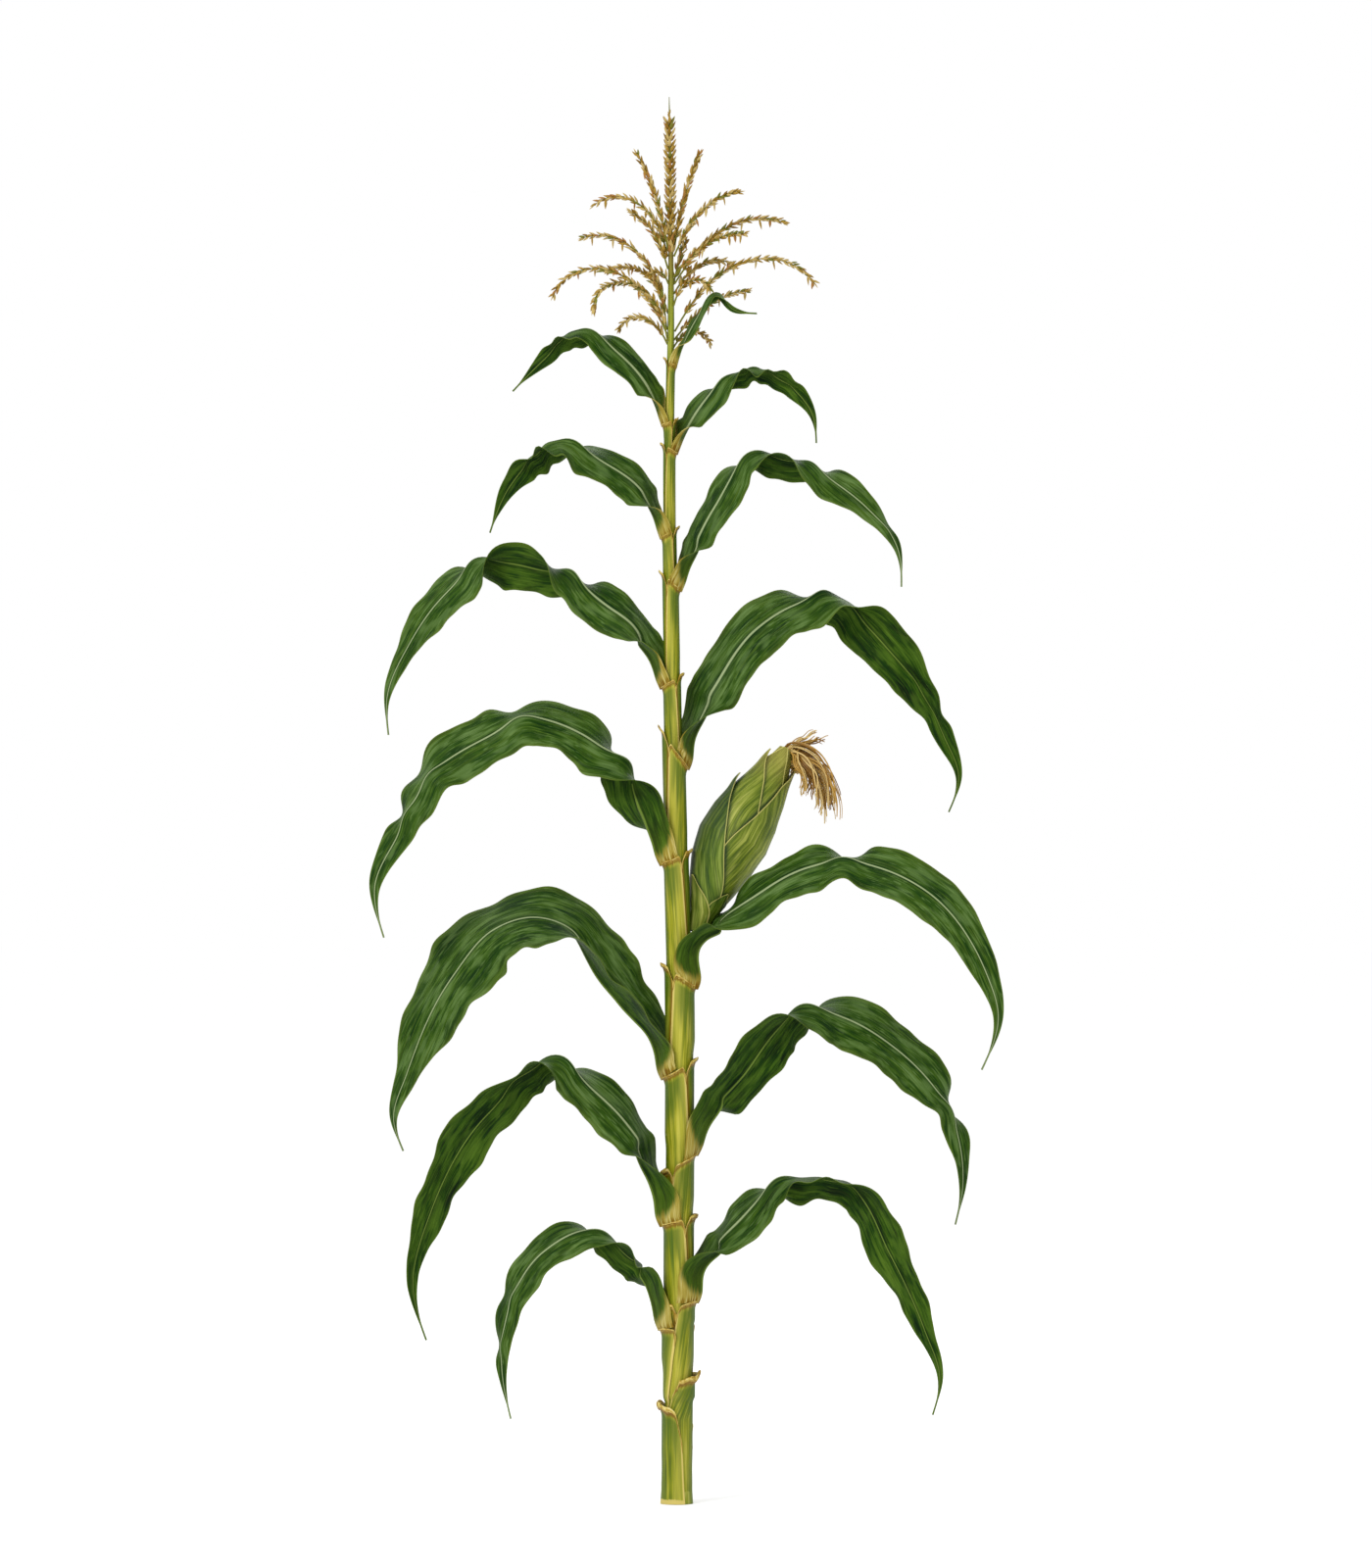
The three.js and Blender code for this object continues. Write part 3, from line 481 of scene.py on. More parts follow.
def blade_material(name, tones, rib, edge, rough):
    n = Nodes(name, rough, 0.07)
    across, rel, along, half, ribw, seed = [n.attr(k) for k in ("across", "rel", "along", "half", "ribw", "seed")]
    strokes = n.strokes(across, along, seed)
    dark, pale = tones[0][1], tones[-1][1]
    broad = n.times(strokes(0.34, 0.021, 0.0), 0.55)
    n.col = n.colours(n.plus(broad, n.times(strokes(0.07, 0.012, 9.0, 2.0), 0.5)), tones)
    # veins: fine paler and darker threads
    vein = strokes(1.15, 0.006, 5.0, 2.0)
    n.lay(edge, vein, 0.53, 0.66, 0.0, 0.34)
    n.lay(dark, vein, 0.47, 0.35, 0.0, 0.4)
    # short flecks where the light catches
    n.lay(pale, strokes(0.5, 0.045, 21.0, 1.0), 0.6, 0.7, 0.0, 0.6)
    # broad paler and deeper patches
    patch = strokes(0.09, 0.022, 37.0, 1.0)
    n.lay(pale, patch, 0.52, 0.68, 0.0, 0.5)
    n.lay(dark, patch, 0.46, 0.34, 0.0, 0.4)
    away = n.math("ABSOLUTE", across)
    n.lay(edge, n.math("DIVIDE", away, half), 0.8, 1.0, 0.0, 0.3)
    # shade in the channel beside the midrib, then the midrib itself
    n.lay(dark, n.math("DIVIDE", away, ribw), 1.2, 5.0, 0.5, 0.0)
    n.lay(rib, n.math("DIVIDE", away, ribw), 0.7, 1.3, 0.9, 0.0)
    n.lay(edge, n.minus(half, away), 0.5, 1.5, 0.7, 0.0)
    # yellower towards its foot, with a creamy wrinkled wedge at its margins and a brown streaked band at the collar
    n.lay(YOUNG, along, 20.0, 95.0, 0.42, 0.0)
    brown, tan, straw, cream = FOOT_TONES
    wet = strokes(0.4, 0.02, 2.0)
    wedge = n.times(n.math("POWER", n.math("ABSOLUTE", rel), 2.5), 34.0)
    height = n.plus(along, n.times(wet, 36.0))
    n.lay(n.colours(wet, [(0.34, tan), (0.5, straw), (0.64, cream)]), n.minus(height, wedge), 34.0, 52.0, 0.95, 0.0)
    n.lay(n.colours(wet, [(0.38, brown), (0.52, tan), (0.64, straw)]), height, 31.0, 39.0, 0.9, 0.0)
    n.bump(n.plus(vein, n.times(strokes(0.12, 0.03, 31.0, 2.0), 1.6)), 0.6, 0.0014)
    return n.done()


def tones(at, colours, k=LIGHT):
    """Stops of a colour ramp: where they lie, and their surface colours."""
    return [(x, shade(*c, k)) for x, c in zip(at, colours)]


BANDS = (0.37, 0.46, 0.55, 0.68)
YOUNG = shade(104, 128, 40, LEAF)
FOOT_TONES = [shade(128, 92, 22), shade(162, 140, 52), shade(190, 172, 82), shade(222, 206, 130)]
UPPER = blade_material("leaf upper side",
                       tones(BANDS, [(26, 56, 4), (48, 82, 18), (72, 106, 36), (118, 150, 84)], LEAF),
                       shade(176, 192, 142), shade(124, 146, 62, LEAF), 0.5)
# the underside in darker tones than the upper side: partly its own duller green, partly painted shade
UNDER = blade_material("leaf underside",
                       tones(BANDS, [(16, 42, 0), (38, 70, 6), (60, 94, 18), (96, 130, 46)], LEAF),
                       shade(124, 148, 66), shade(110, 134, 50, LEAF), 0.6)


def sheath_material(name, tones, rim):
    n = Nodes(name, 0.5, 0.2)
    rel, along, below, side, seed = [n.attr(k) for k in ("rel", "along", "below", "side", "seed")]
    strokes = n.strokes(rel, along, seed)
    dark, pale = tones[0][1], tones[-1][1]
    brown, tan, cream = rim
    broad = n.times(strokes(30.0, 0.007, 0.0), 0.6)
    n.col = n.colours(n.plus(broad, n.times(strokes(6.0, 0.012, 4.0, 2.0), 0.46)), tones)
    rib = strokes(95.0, 0.003, 7.0, 2.0)
    n.lay(dark, rib, 0.48, 0.36, 0.0, 0.45)
    n.lay(pale, rib, 0.54, 0.66, 0.0, 0.5)
    # painted shade: greener and darker towards the left and right sides of the round sheath; painted highlight: paler
    # between them, to the front and back
    ranks = n.plus(side, n.times(strokes(14.0, 0.01, 17.0, 2.0), 0.5))
    n.lay(GREEN_RUN_AND_SIDE_SHADE, ranks, 0.8, 1.3, 0.0, 0.85)
    between = n.plus(side, n.times(strokes(16.0, 0.008, 23.0, 2.0), 0.9))
    n.lay(pale, between, 0.8, 0.45, 0.0, 0.55)
    # green runs down from the collar
    reach = n.times(strokes(26.0, 0.004, 12.0, 2.0), 150.0)
    run = n.ramp(n.plus(reach, n.times(below, -1.0)), 0.0, 50.0)
    n.col = n.mix(n.times(run, n.ramp(below, 5.0, 14.0, 0.0, 0.7)), n.col, GREEN_RUN_AND_SIDE_SHADE)
    # papery free margin with a shaded line beside it
    n.lay(pale, rel, 0.9, 0.97, 0.0, 0.5)
    n.lay(cream, rel, 0.972, 0.98, 0.0, 0.9)
    n.lay(brown, rel, 0.004, 0.045, 0.9, 0.0)
    # the dried rim, drawn down into a point at the seam; the brown band under it is partly dried colour and partly
    # painted shade under the rim
    frill = strokes(60.0, 0.02, 41.0, 2.0)
    seam = n.ramp(n.math("MINIMUM", rel, n.minus(1.0, rel)), 0.0, 0.03, 8.0, 0.0)
    depth = n.plus(n.minus(below, seam), n.times(frill, 10.0))
    n.lay(brown, depth, 9.5, 14.0, 0.8, 0.0)
    n.lay(n.colours(frill, [(0.36, brown), (0.48, tan), (0.62, cream)]), depth, 7.5, 10.0, 0.95, 0.0)
    # the cut edge at the ground has dried
    dried = n.plus(along, n.times(strokes(20.0, 0.1, 31.0, 2.0), 6.0))
    n.lay(cream, dried, 8.5, 10.5, 0.9, 0.0)
    n.bump(n.plus(rib, n.times(frill, n.ramp(depth, 8.0, 14.0, 1.5, 0.0))), 0.6, 0.0014)
    return n.done()


STEM_BANDS = (0.36, 0.46, 0.55, 0.68)
# deep green for the runs below each collar, and for the painted shade on the sides of sheaths and stalk
GREEN_RUN_AND_SIDE_SHADE = shade(70, 98, 14, STEM)
RIM_TONES = [shade(128, 92, 22, STEM), shade(176, 146, 56, STEM), shade(214, 194, 110, STEM)]
SHEATH = sheath_material(
    "leaf sheath", tones(STEM_BANDS, [(80, 94, 4), (120, 130, 16), (152, 152, 34), (196, 188, 78)], STEM), RIM_TONES)
OLD = sheath_material(
    "old sheath", tones(STEM_BANDS, [(78, 92, 4), (116, 128, 14), (144, 148, 30), (188, 182, 74)], STEM), RIM_TONES)
n = Nodes("collar rim", 0.55, 0.2)
rel, along, seed = [n.attr(k) for k in ("rel", "along", "seed")]
fleck = n.noise(n.vec(n.times(rel, 26.0), n.times(along, 0.12), seed), 2.0, 0.5)
n.bump(fleck, 0.5, 0.001)
n.col = n.colours(fleck, tones((0.36, 0.46, 0.56, 0.7),
                               [(146, 110, 34), (178, 150, 62), (206, 184, 98), (226, 210, 136)], STEM))
# darker brown on the bead's underside: partly its dried colour, partly painted shade under the roll
n.lay(shade(128, 90, 24, STEM), n.attr("below"), 3.0, 5.4, 0.0, 0.85)
RIM = n.done()


# ------------------------------------------------------------ blades
def prepare(p):
    p["line"] = Line([[p["r"] - 0.4, -14], [p["arc"], 0]] + p["bends"])
    p["len"] = p["line"].length
    p["phase"], p["ripple"], p["pitch"] = 1.7 * p["id"], p["wide"] * 0.13, 70 + p["wide"]


def width_at(p, s):
    t = s / p["len"]
    x = np.clip((t - 0.6) / 0.4, 0, 1)
    w = lerp(CLASP * p["arc"], p["wide"], np.sin(math.pi / 2 * np.clip(t / p["full"], 0, 1)))
    for o in p["over"]:
        w = w * (1 + RUFFLE * smooth(10, 70, s) * np.exp(-(((s - o * p["len"]) / (1.3 * SOFT)) ** 2)))
    return np.maximum(1.2, w * (1 - x) ** 1.7 * (1 + 1.3 * x))


def roll_at(p, s):
    t, soft = s / p["len"], SOFT / p["len"]
    a = p["face"] * np.radians(56 + 14 * t)
    for o in p["over"]:
        a = a * -np.tanh((t - o) / soft)
    for o, deep in p["flat"]:
        a = a * (1 - deep * np.exp(-(((t - o) / 0.035) ** 2)))
    # it can only tip over once it has opened and stands clear of the stalk
    return a * lerp(p["start"], 1, open_at(p, s)) * smooth(0, 1, room_at(p, s))


def open_at(p, s):
    return smooth(0.45 * p["open"], 1.35 * p["open"], s)


def room_at(p, s):
    return (p["line"].at(s)[0] - p["r"] - 2) / width_at(p, s)


def blade(skin, p):
    """The blade from where it leaves the rim to its tip; s runs along its midrib, u across from edge to edge."""
    rows = int(p["len"] / 4.2)
    s = np.linspace(11, p["len"], rows + 1)[:, None]
    u = np.linspace(-1, 1, 33)[None, :]
    u = np.sign(u) * np.abs(u) ** 0.92
    t = s / p["len"]
    a0, b0, ta, tb = p["line"].at(s)
    w = width_at(p, s)
    w = w * (1 + 0.02 * np.sin(s / 23.0 + p["phase"]) + 0.012 * np.sin(s / 9.1))
    # N stands on the blade's face, D lies across it
    c, k = np.cos(roll_at(p, s)), np.sin(roll_at(p, s))
    N = np.stack([-tb * c, -k, ta * c], -1)
    D = np.stack([tb * k, -c, -ta * k], -1)
    au, side = np.abs(u), np.where(u < 0, -1, 1)
    room, opened = room_at(p, s), open_at(p, s)
    # a gutter until it opens, shallow beside the stalk; further out flat, and a tent where it turns over
    gutter = rad(6) + np.radians(lerp(18, GUTTER, smooth(0.2, 1, room))) * (1 - opened)
    tent = rad(5) - rad(TENT) * c * c
    fold = lerp(gutter, tent, opened * smooth(0.75, 1, room)) * smooth(15, 60, s) * (1 - 0.4 * t)
    # at its foot it is bent round the stalk
    bend = CLASP * (1 - smooth(10, 45 + 2.6 * p["r"], s))
    g = fold + bend * au
    safe = np.maximum(bend, 0.01)
    d = np.where(bend > 0.01, (np.sin(g) - np.sin(fold)) / safe, au * np.cos(fold))
    n = np.where(bend > 0.01, (np.cos(fold) - np.cos(g)) / safe, au * np.sin(fold))
    # long and short ripples of its margins
    env = smooth(0.1, 0.22, t) * (1 - smooth(0.7, 0.95, t))
    off = np.where(side > 0, 0.0, 2.2)
    beat = 2 * math.pi * s / p["pitch"]
    wave = p["ripple"] * env * np.sin(beat + p["phase"] + off) * au**2
    wave = wave + 0.03 * p["wide"] * env * np.sin(beat / 0.37 + 2.1 * p["phase"] + 1.7 * off) * au**4
    # a shallow channel over the midrib, which stands out below
    rib = lerp(4.6, 1.0, t**0.7)
    wave = wave - 0.9 * (1 - 0.6 * t) * np.exp(-((u * w / rib) ** 2))
    mid = 0.0085 * p["len"] * (1 - 0.75 * t)
    ends = lerp(0.25, 1, smooth(0, 30, s))
    thick = (0.9 + np.maximum(0, mid - 0.9) * np.exp(-((u * w / (rib * 1.25)) ** 2))) * ends
    thick = np.minimum(thick, np.maximum(0.8, 1.3 * w))
    sheets = []
    for depth in (0 * thick, thick):
        dd = d * w + depth * np.sin(g)
        nn = n * w + wave - depth * np.cos(g) - 0.5 * w * np.sin(fold) * smooth(40, 110, s)
        q = (side * dd)[..., None] * D + nn[..., None] * N
        # its foot follows the slanting rim and lies on the sheath
        q[..., 2] += p["slant"] * (1 - np.cos(CLASP * au)) / 2 * (1 - smooth(14, 44, s))
        sheets.append(place(p["rank"], p["turn"], p["collar"], a0 + q[..., 0], q[..., 1], b0 + q[..., 2]))
    up, down = sheets
    ring = np.concatenate([up, down[:, ::-1]], 1)
    m = u.shape[1]
    upper_and_under = [0] * (m - 1) + [1] * (m + 1)
    skin.grid(ring, slot=upper_and_under, caps="strip", across=both_sides(u * w), rel=both_sides(u, w),
              along=both_sides(s, u), half=both_sides(w, u), ribw=both_sides(lerp(3.2, 0.5, t**0.42), u),
              seed=p["id"] * 3.7)


def tube_radius(p, z):
    """How thick a sheath is at z: under the next one's rim it lies within that one."""
    if p is STACK[-1]:
        r = np.interp(z, *zip(*FOOT_PROFILE))
        return np.where(z > FOOT_H, lerp(FOOT_R, p["r"], smooth(FOOT_H, FOOT_H + 28, z)), r)
    below, low = STACK[p["id"] + 1], p["collar"] + min(0, p["slant"])
    a = min(p["free"], low - FLARE_H - 6)
    b = max(a + 6, min(a + 28, low - FLARE_H))
    within = np.minimum(p["nest"], tube_radius(below, z) - wall(below["r"]) - CLEAR - SLIP)
    return lerp(within, p["r"], smooth(a, b, z))


def notch(p, j):
    """How far the rim sinks where the margins of the sheath part; j goes from 0 at one to 1 at the other."""
    deep, near, far = p["seam"][3:]
    return deep * np.maximum(np.clip(1 - (1 - j) / near, 0, 1), np.clip(1 - j / far, 0, 1)) ** 1.2


def sheath(skin, p, slot, rim_slot):
    """The tube of a leaf's sheath: its front margin laps over the other or stands open, and the rim stands out."""
    bare = "lip" in p
    rank, collar, slant, key = p["rank"], p["collar"], p["slant"], p["id"]
    cols, twist, gape = 144 if bare else 84, *p["seam"][1:3]
    below = STACK[min(key + 1, len(STACK) - 1)]
    z0 = 0 if below["seam"][2] else max(0, p["foot"] - 12)
    # the margins part on the far side, towards the front
    seam0 = 180 * (rank > 0) + rank * p["seam"][0]

    def rim(q, j):
        """The notch at j and the rim's height at q: a little uneven, and more so where the blade is gone."""
        torn = 2.2 * np.sin(3 * q + 1.0) + 1.4 * np.sin(7 * q + 2.0) if bare else 0.5 * np.sin(5 * q + key)
        dip = notch(p, j)
        return dip, collar + slant * (1 - rank * np.cos(q)) / 2 + torn - dip

    j = np.arange(cols + 1) / cols
    v = np.r_[np.linspace(0, 0.8, 30), np.linspace(0.82, 1, 20)][:, None]
    drift = -rank * np.clip(twist * (collar - z0) * (1 - v) / 100, -MOST_DRIFT, MOST_DRIFT)
    q = np.radians(seam0 + drift) - rank * 2 * math.pi * lerp(gape, 1, j[None, :])
    toward = (1 + rank * np.cos(q)) / 2
    dip, top = rim(q, j[None, :])
    z = z0 + (top - z0) * v
    r = tube_radius(p, z)
    if bare:
        reach = p["lip"] * toward + 1
    else:
        reach = lerp(p["flare"], p["arc"] + 1.2 - p["r"], smooth(0.2, 0.6, toward))
    reach = reach * (1 - 0.8 * smooth(2, 12, dip))
    x = np.clip((z - (top - FLARE_H)) / FLARE_H, 0, 1)
    r = (r + reach * x**2.2) * (1 + 0.006 * np.cos(5 * q + key)) + 0.9 * j[None, :] - 0.35
    ring = []
    for inner in (0, 1):
        rr = r - inner * (0.9 + 0.5 * np.exp(-(((top - z) - 2.0) / 3.0) ** 2))
        ring.append(np.stack([lean(z) + rr * np.cos(q), rr * np.sin(q), z], -1).transpose(1, 0, 2))
    skin.grid(np.concatenate([ring[0], ring[1][:, ::-1]], 1), slot=slot, caps="strip",
              rel=both_sides(j[:, None], z.T), along=both_sides(z.T), side=both_sides(np.abs(np.cos(q)).T),
              below=both_sides((top - z).T), seed=key * 2.3)
    # the rim ends in a thin bead, which becomes a rolled lip where it stands off the stalk
    k = np.arange(2 * cols + 1) / (2 * cols)
    q = np.radians(seam0) - rank * 2 * math.pi * lerp(gape, 1, k)
    far = (1 - rank * np.cos(q)) / 2
    size = p["r"] / 20
    curl = smooth(0.3, 1.0, 1 - far) + 0.5 * smooth(0.7, 1.0, far) if bare else smooth(0.35, 0.95, far)
    dip, top = rim(q, k)
    curl = curl * (1 - smooth(1, 10, dip))
    rr = np.interp(k, j, r[-1]) - 0.7 + size * curl
    out = np.stack([np.cos(q), np.sin(q), 0 * q], -1)
    centre = np.stack([lean(top), 0 * q, top - 1.0 + 2.4 * size * curl], -1) + rr[:, None] * out
    fat = (0.75 + 0.75 * curl + 0.15 * np.sin(7 * q + key)) * (0.5 + 0.5 * size) * (1.5 if bare else 1)
    tall = (1.3 + 1.9 * curl + 0.3 * np.sin(5 * q + 2 * key)) * (0.45 + 0.55 * size) * (1.6 if bare else 1)
    a = 2 * math.pi * np.arange(14)[None, :] / 14
    # the lip opens upwards
    sideways = fat[:, None] * np.cos(a) + 0.3 * tall[:, None] * np.sin(a)
    upwards = (tall[:, None] * np.sin(a))[..., None] * np.array([0, 0, 1.0])
    bead = centre[:, None] + sideways[..., None] * out[:, None] + upwards
    skin.grid(bead, slot=rim_slot, caps="fan", rel=k[:, None] + 0 * a, along=6 * a + 0 * k[:, None],
              below=3 - 3 * np.sin(a) + 0 * k[:, None], seed=key * 1.3)


for p in LEAVES:
    prepare(p)
    s = Skin()
    blade(s, p)
    sheath(s, p, 2, 3)
    ob = s.make(p["name"], [UPPER, UNDER, SHEATH, RIM], sharp=48)
    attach(ob, "root")
    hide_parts(p["name"] + "_rise", p["name"] + "_fall")
for p in BARE:
    s = Skin()
    sheath(s, p, 0, 1)
    ob = s.make(p["name"] + "_skin", [OLD, RIM], sharp=48)
    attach(ob, "root")
    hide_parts(p["name"])

# ------------------------------------------------------------ stalk
n = Nodes("stalk", 0.5, 0.2)
rel, along, side, core = [n.attr(k) for k in ("rel", "along", "side", "core")]
tone = n.noise(n.vec(n.times(rel, 22.0), n.times(along, 0.008), 2.0), 4.0, 0.6)
n.col = n.colours(tone, tones((0.34, 0.5, 0.66), [(82, 100, 10), (134, 144, 38), (190, 186, 88)], STEM))
# painted shade: greener and darker towards the left and right sides of the round stalk
n.lay(GREEN_RUN_AND_SIDE_SHADE, n.plus(side, n.times(tone, 0.5)), 0.8, 1.35, 0.0, 0.75)
n.lay(n.colours(tone, tones((0.35, 0.65), [(108, 96, 24), (170, 152, 74)])), along, 1690.0, 1800.0, 0.0, 1.0)
# the pith of its two cut ends
pith = n.noise(n.vec(n.times(core, 30.0), n.times(rel, 40.0), 1.0), 3.0, 0.7)
n.lay(n.colours(pith, tones((0.35, 0.6), [(170, 150, 84), (214, 200, 140)])), core, 0.02, 0.06, 0.0, 1.0)
n.bump(tone, 0.4, 0.001)
STALK = n.done()

ROWS, SIDES, RINGS = 240, 48, 8
z = np.linspace(0, STALK_TOP, ROWS)[:, None]
r = np.interp(z, stalk_r[:, 0], stalk_r[:, 1])
j = np.arange(SIDES)[None, :] / SIDES
q = 2 * math.pi * j
inn = np.linspace(0.94, 0.02, RINGS)[:, None]


def cut_end(z, r):
    """The rings of a flat end, from its rim to its middle."""
    return np.stack([lean(z) + r * inn * np.cos(q), r * inn * np.sin(q), z + 0 * inn * q], -1)


wall_rings = np.stack([lean(z) + r * np.cos(q), r * np.sin(q), z + 0 * q], -1)
rings = np.concatenate([cut_end(0.0, r[0, 0])[::-1], wall_rings, cut_end(STALK_TOP, r[-1, 0])], 0)
core = np.concatenate([1 - inn[::-1], 0 * z, 0 * inn])
s = Skin()
s.grid(rings, rel=np.broadcast_to(j, rings.shape[:2]), along=rings[:, :, 2], core=core,
       side=np.abs(np.cos(q)))
ob = s.make("stalk_skin", [STALK])
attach(ob, "root")
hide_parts("stalk")

# ------------------------------------------------------------ tassel
GRAINS = [principled("spikelet " + k, shade(*c, TASSEL), 0.62, 0.15) for k, c in (
    ("straw", (206, 180, 112)), ("gold", (180, 146, 66)), ("ochre", (146, 112, 40)),
    ("russet", (176, 128, 66)), ("green", (132, 130, 52)))]
# how often each of them is dealt out on the branches and on the spike
BRANCH_MIX = [0.34, 0.3, 0.16, 0.08, 0.12]
SPIKE_MIX = [0.34, 0.36, 0.22, 0.04, 0.04]
grain_skins = [Skin() for _ in GRAINS]
PROFILE = np.array([[0, 0.28], [0.16, 0.8], [0.4, 1.0], [0.68, 0.72], [0.9, 0.3], [1, 0.06]])
UP = np.array([0, 0, 1.0])


def grain(at, direction, length, thick, kind):
    """One spikelet: a slightly flattened spindle that starts at a point."""
    d = direction / np.linalg.norm(direction)
    ref = np.cross(d, UP)
    if np.linalg.norm(ref) < 0.1:
        ref = np.cross(d, (1, 0, 0))
    ref /= np.linalg.norm(ref)
    oth = np.cross(ref, d)
    q = (2 * math.pi * np.arange(5) / 5)[None, :, None]
    x = PROFILE[:, 0][:, None, None] * length
    r = PROFILE[:, 1][:, None, None] * thick
    pts = at + x * d + r * (np.cos(q) * ref + 0.72 * np.sin(q) * oth)
    grain_skins[kind].grid(pts, caps="fan")


def branch_path(rank, z, length, up, tip, turn):
    """The middle line of a branch, from the side of the stalk outwards."""
    foot = 0.975 * np.interp(z, stalk_r[:, 0], stalk_r[:, 1]) + CLEAR + 0.95 * math.sin(rad(up))
    steps, a, b = 60, [foot], [0.0]
    for i in range(steps):
        e = rad(up + (tip - up) * ((i + 0.5) / steps) ** 1.75)
        a.append(a[-1] + length / steps * math.cos(e))
        b.append(b[-1] + length / steps * math.sin(e))
    a = foot + (np.array(a) - foot) / math.cos(rad(turn))
    return place(rank, turn, z, a, 0.0, np.array(b))


stems = Skin()
for branch in BRANCHES:
    path = branch_path(*branch)
    run = np.r_[0, np.cumsum(np.linalg.norm(np.diff(path, axis=0), axis=1))]
    total = run[-1]
    tube(stems, path, np.linspace(1.6, 0.7, len(path)), 6)
    at = lambda x: np.array([np.interp(x, run, path[:, i]) for i in range(3)])
    x, turn = 0.1 * total + 4, rng.uniform(0, 6)
    dangles = 0
    while x < total - 3:
        here, d = at(x), at(min(total, x + 2)) - at(x - 2)
        d /= np.linalg.norm(d)
        side = np.cross(d, (0, 1, 0))
        side /= np.linalg.norm(side)
        out = np.cross(side, d)
        for _ in range(2):
            turn += math.pi + rng.normal(0, 0.35)
            o = math.cos(turn) * side + math.sin(turn) * out
            tilt = rad(rng.uniform(18, 32))
            size = rng.uniform(11.0, 14.5) * (1 - 0.25 * (x / total) ** 3)
            grain(here + o * 0.8, d * math.cos(tilt) + o * math.sin(tilt), size, rng.uniform(2.0, 2.7),
                  rng.choice(5, p=BRANCH_MIX))
        if rng.random() < 0.17 and x > 0.3 * total and dangles < 7:
            dangles += 1
            hang = rng.uniform(10, 16)
            grain(here - UP, (rng.normal(0, 0.12), rng.normal(0, 0.12), -1), hang, rng.uniform(1.7, 2.4),
                  rng.choice([0, 1, 3]))
        x += rng.uniform(4.6, 5.8)
        turn += 1.3
    grain(at(total - 4), at(total) - at(total - 6), 9, 1.4, rng.choice([0, 1]))

# the central spike: grains in close whorls, and a bare tip
GRAINS_END = 1972
zz = np.linspace(STALK_TOP, SPIKE_TOP, 40)
tube(stems, np.stack([lean(zz), 0 * zz, zz], -1),
     np.interp(zz, [STALK_TOP, 1975, SPIKE_TOP], [3.0, 1.3, 0.5]), 8)
for k, z in enumerate(np.arange(STALK_TOP - 14, GRAINS_END, 8.0)):
    here = np.array([lean(z), 0, z])
    for i in range(6):
        q = math.pi / 3 * i + (math.pi / 6) * (k % 2) + rng.normal(0, 0.08)
        o = np.array([math.cos(q), math.sin(q), 0])
        tilt = rad(rng.uniform(26, 38) if z > STALK_TOP else rng.uniform(14, 22))
        grain(here + o * 2.2, UP * math.cos(tilt) + o * math.sin(tilt), rng.uniform(12, 15),
              rng.uniform(2.3, 3.0), rng.choice(5, p=SPIKE_MIX))
for i in range(5):
    q, z = i * 1.3, GRAINS_END + 3 * i
    o = np.array([math.cos(q), math.sin(q), 0])
    grain(np.array([lean(z), 0, z]), UP + o * 0.45, 8, 1.3, 1)
ob = stems.make("tassel_stems", [principled("tassel stem", shade(130, 130, 50, TASSEL), 0.55, 0.15)])
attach(ob, "root")
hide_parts(*["tassel_branch_%02d" % (i + 1) for i in range(len(BRANCHES))])
for i, (sk, m) in enumerate(zip(grain_skins, GRAINS)):
    ob = sk.make("tassel_grains_%d" % (i + 1), [m])
    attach(ob, "root")
    if i == 0:
        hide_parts("tassel_spike")

# ------------------------------------------------------------ ear
ear = Line(EAR_LINE)


def ear_radius(t):
    """The ear's radius at t along it; before its foot it narrows to its shank."""
    return np.interp(t, np.r_[-0.12, np.linspace(0, 1, len(EAR_R))], [SHANK_R] + EAR_R)


def turned(x, y, h):
    """Points at the height h, x across and y in front of the stalk, turned with the ear."""
    c, k = math.cos(rad(EAR_TURN)), math.sin(rad(EAR_TURN))
    reach = (x - lean(h)) / c
    return np.stack([lean(h) + reach * c - y * k, reach * k + y * c, h], -1)


def ear_point(t, q, out):
    """Point on the ear at t along it, q round it (0 on its upper left, pi/2 to the front), out from its skin."""
    t, q, out = np.broadcast_arrays(t, q, out)
    a, b, ta, tb = ear.at(np.clip(t, 0, 1) * ear.length)
    over = (t - np.clip(t, 0, 1)) * ear.length
    r = ear_radius(t) + out - 4 * np.clip(over / 40, 0, 1)
    x, h = a + ta * over - tb * r * np.cos(q), b + tb * over + ta * r * np.cos(q)
    return turned(x, -r * np.sin(q), h)


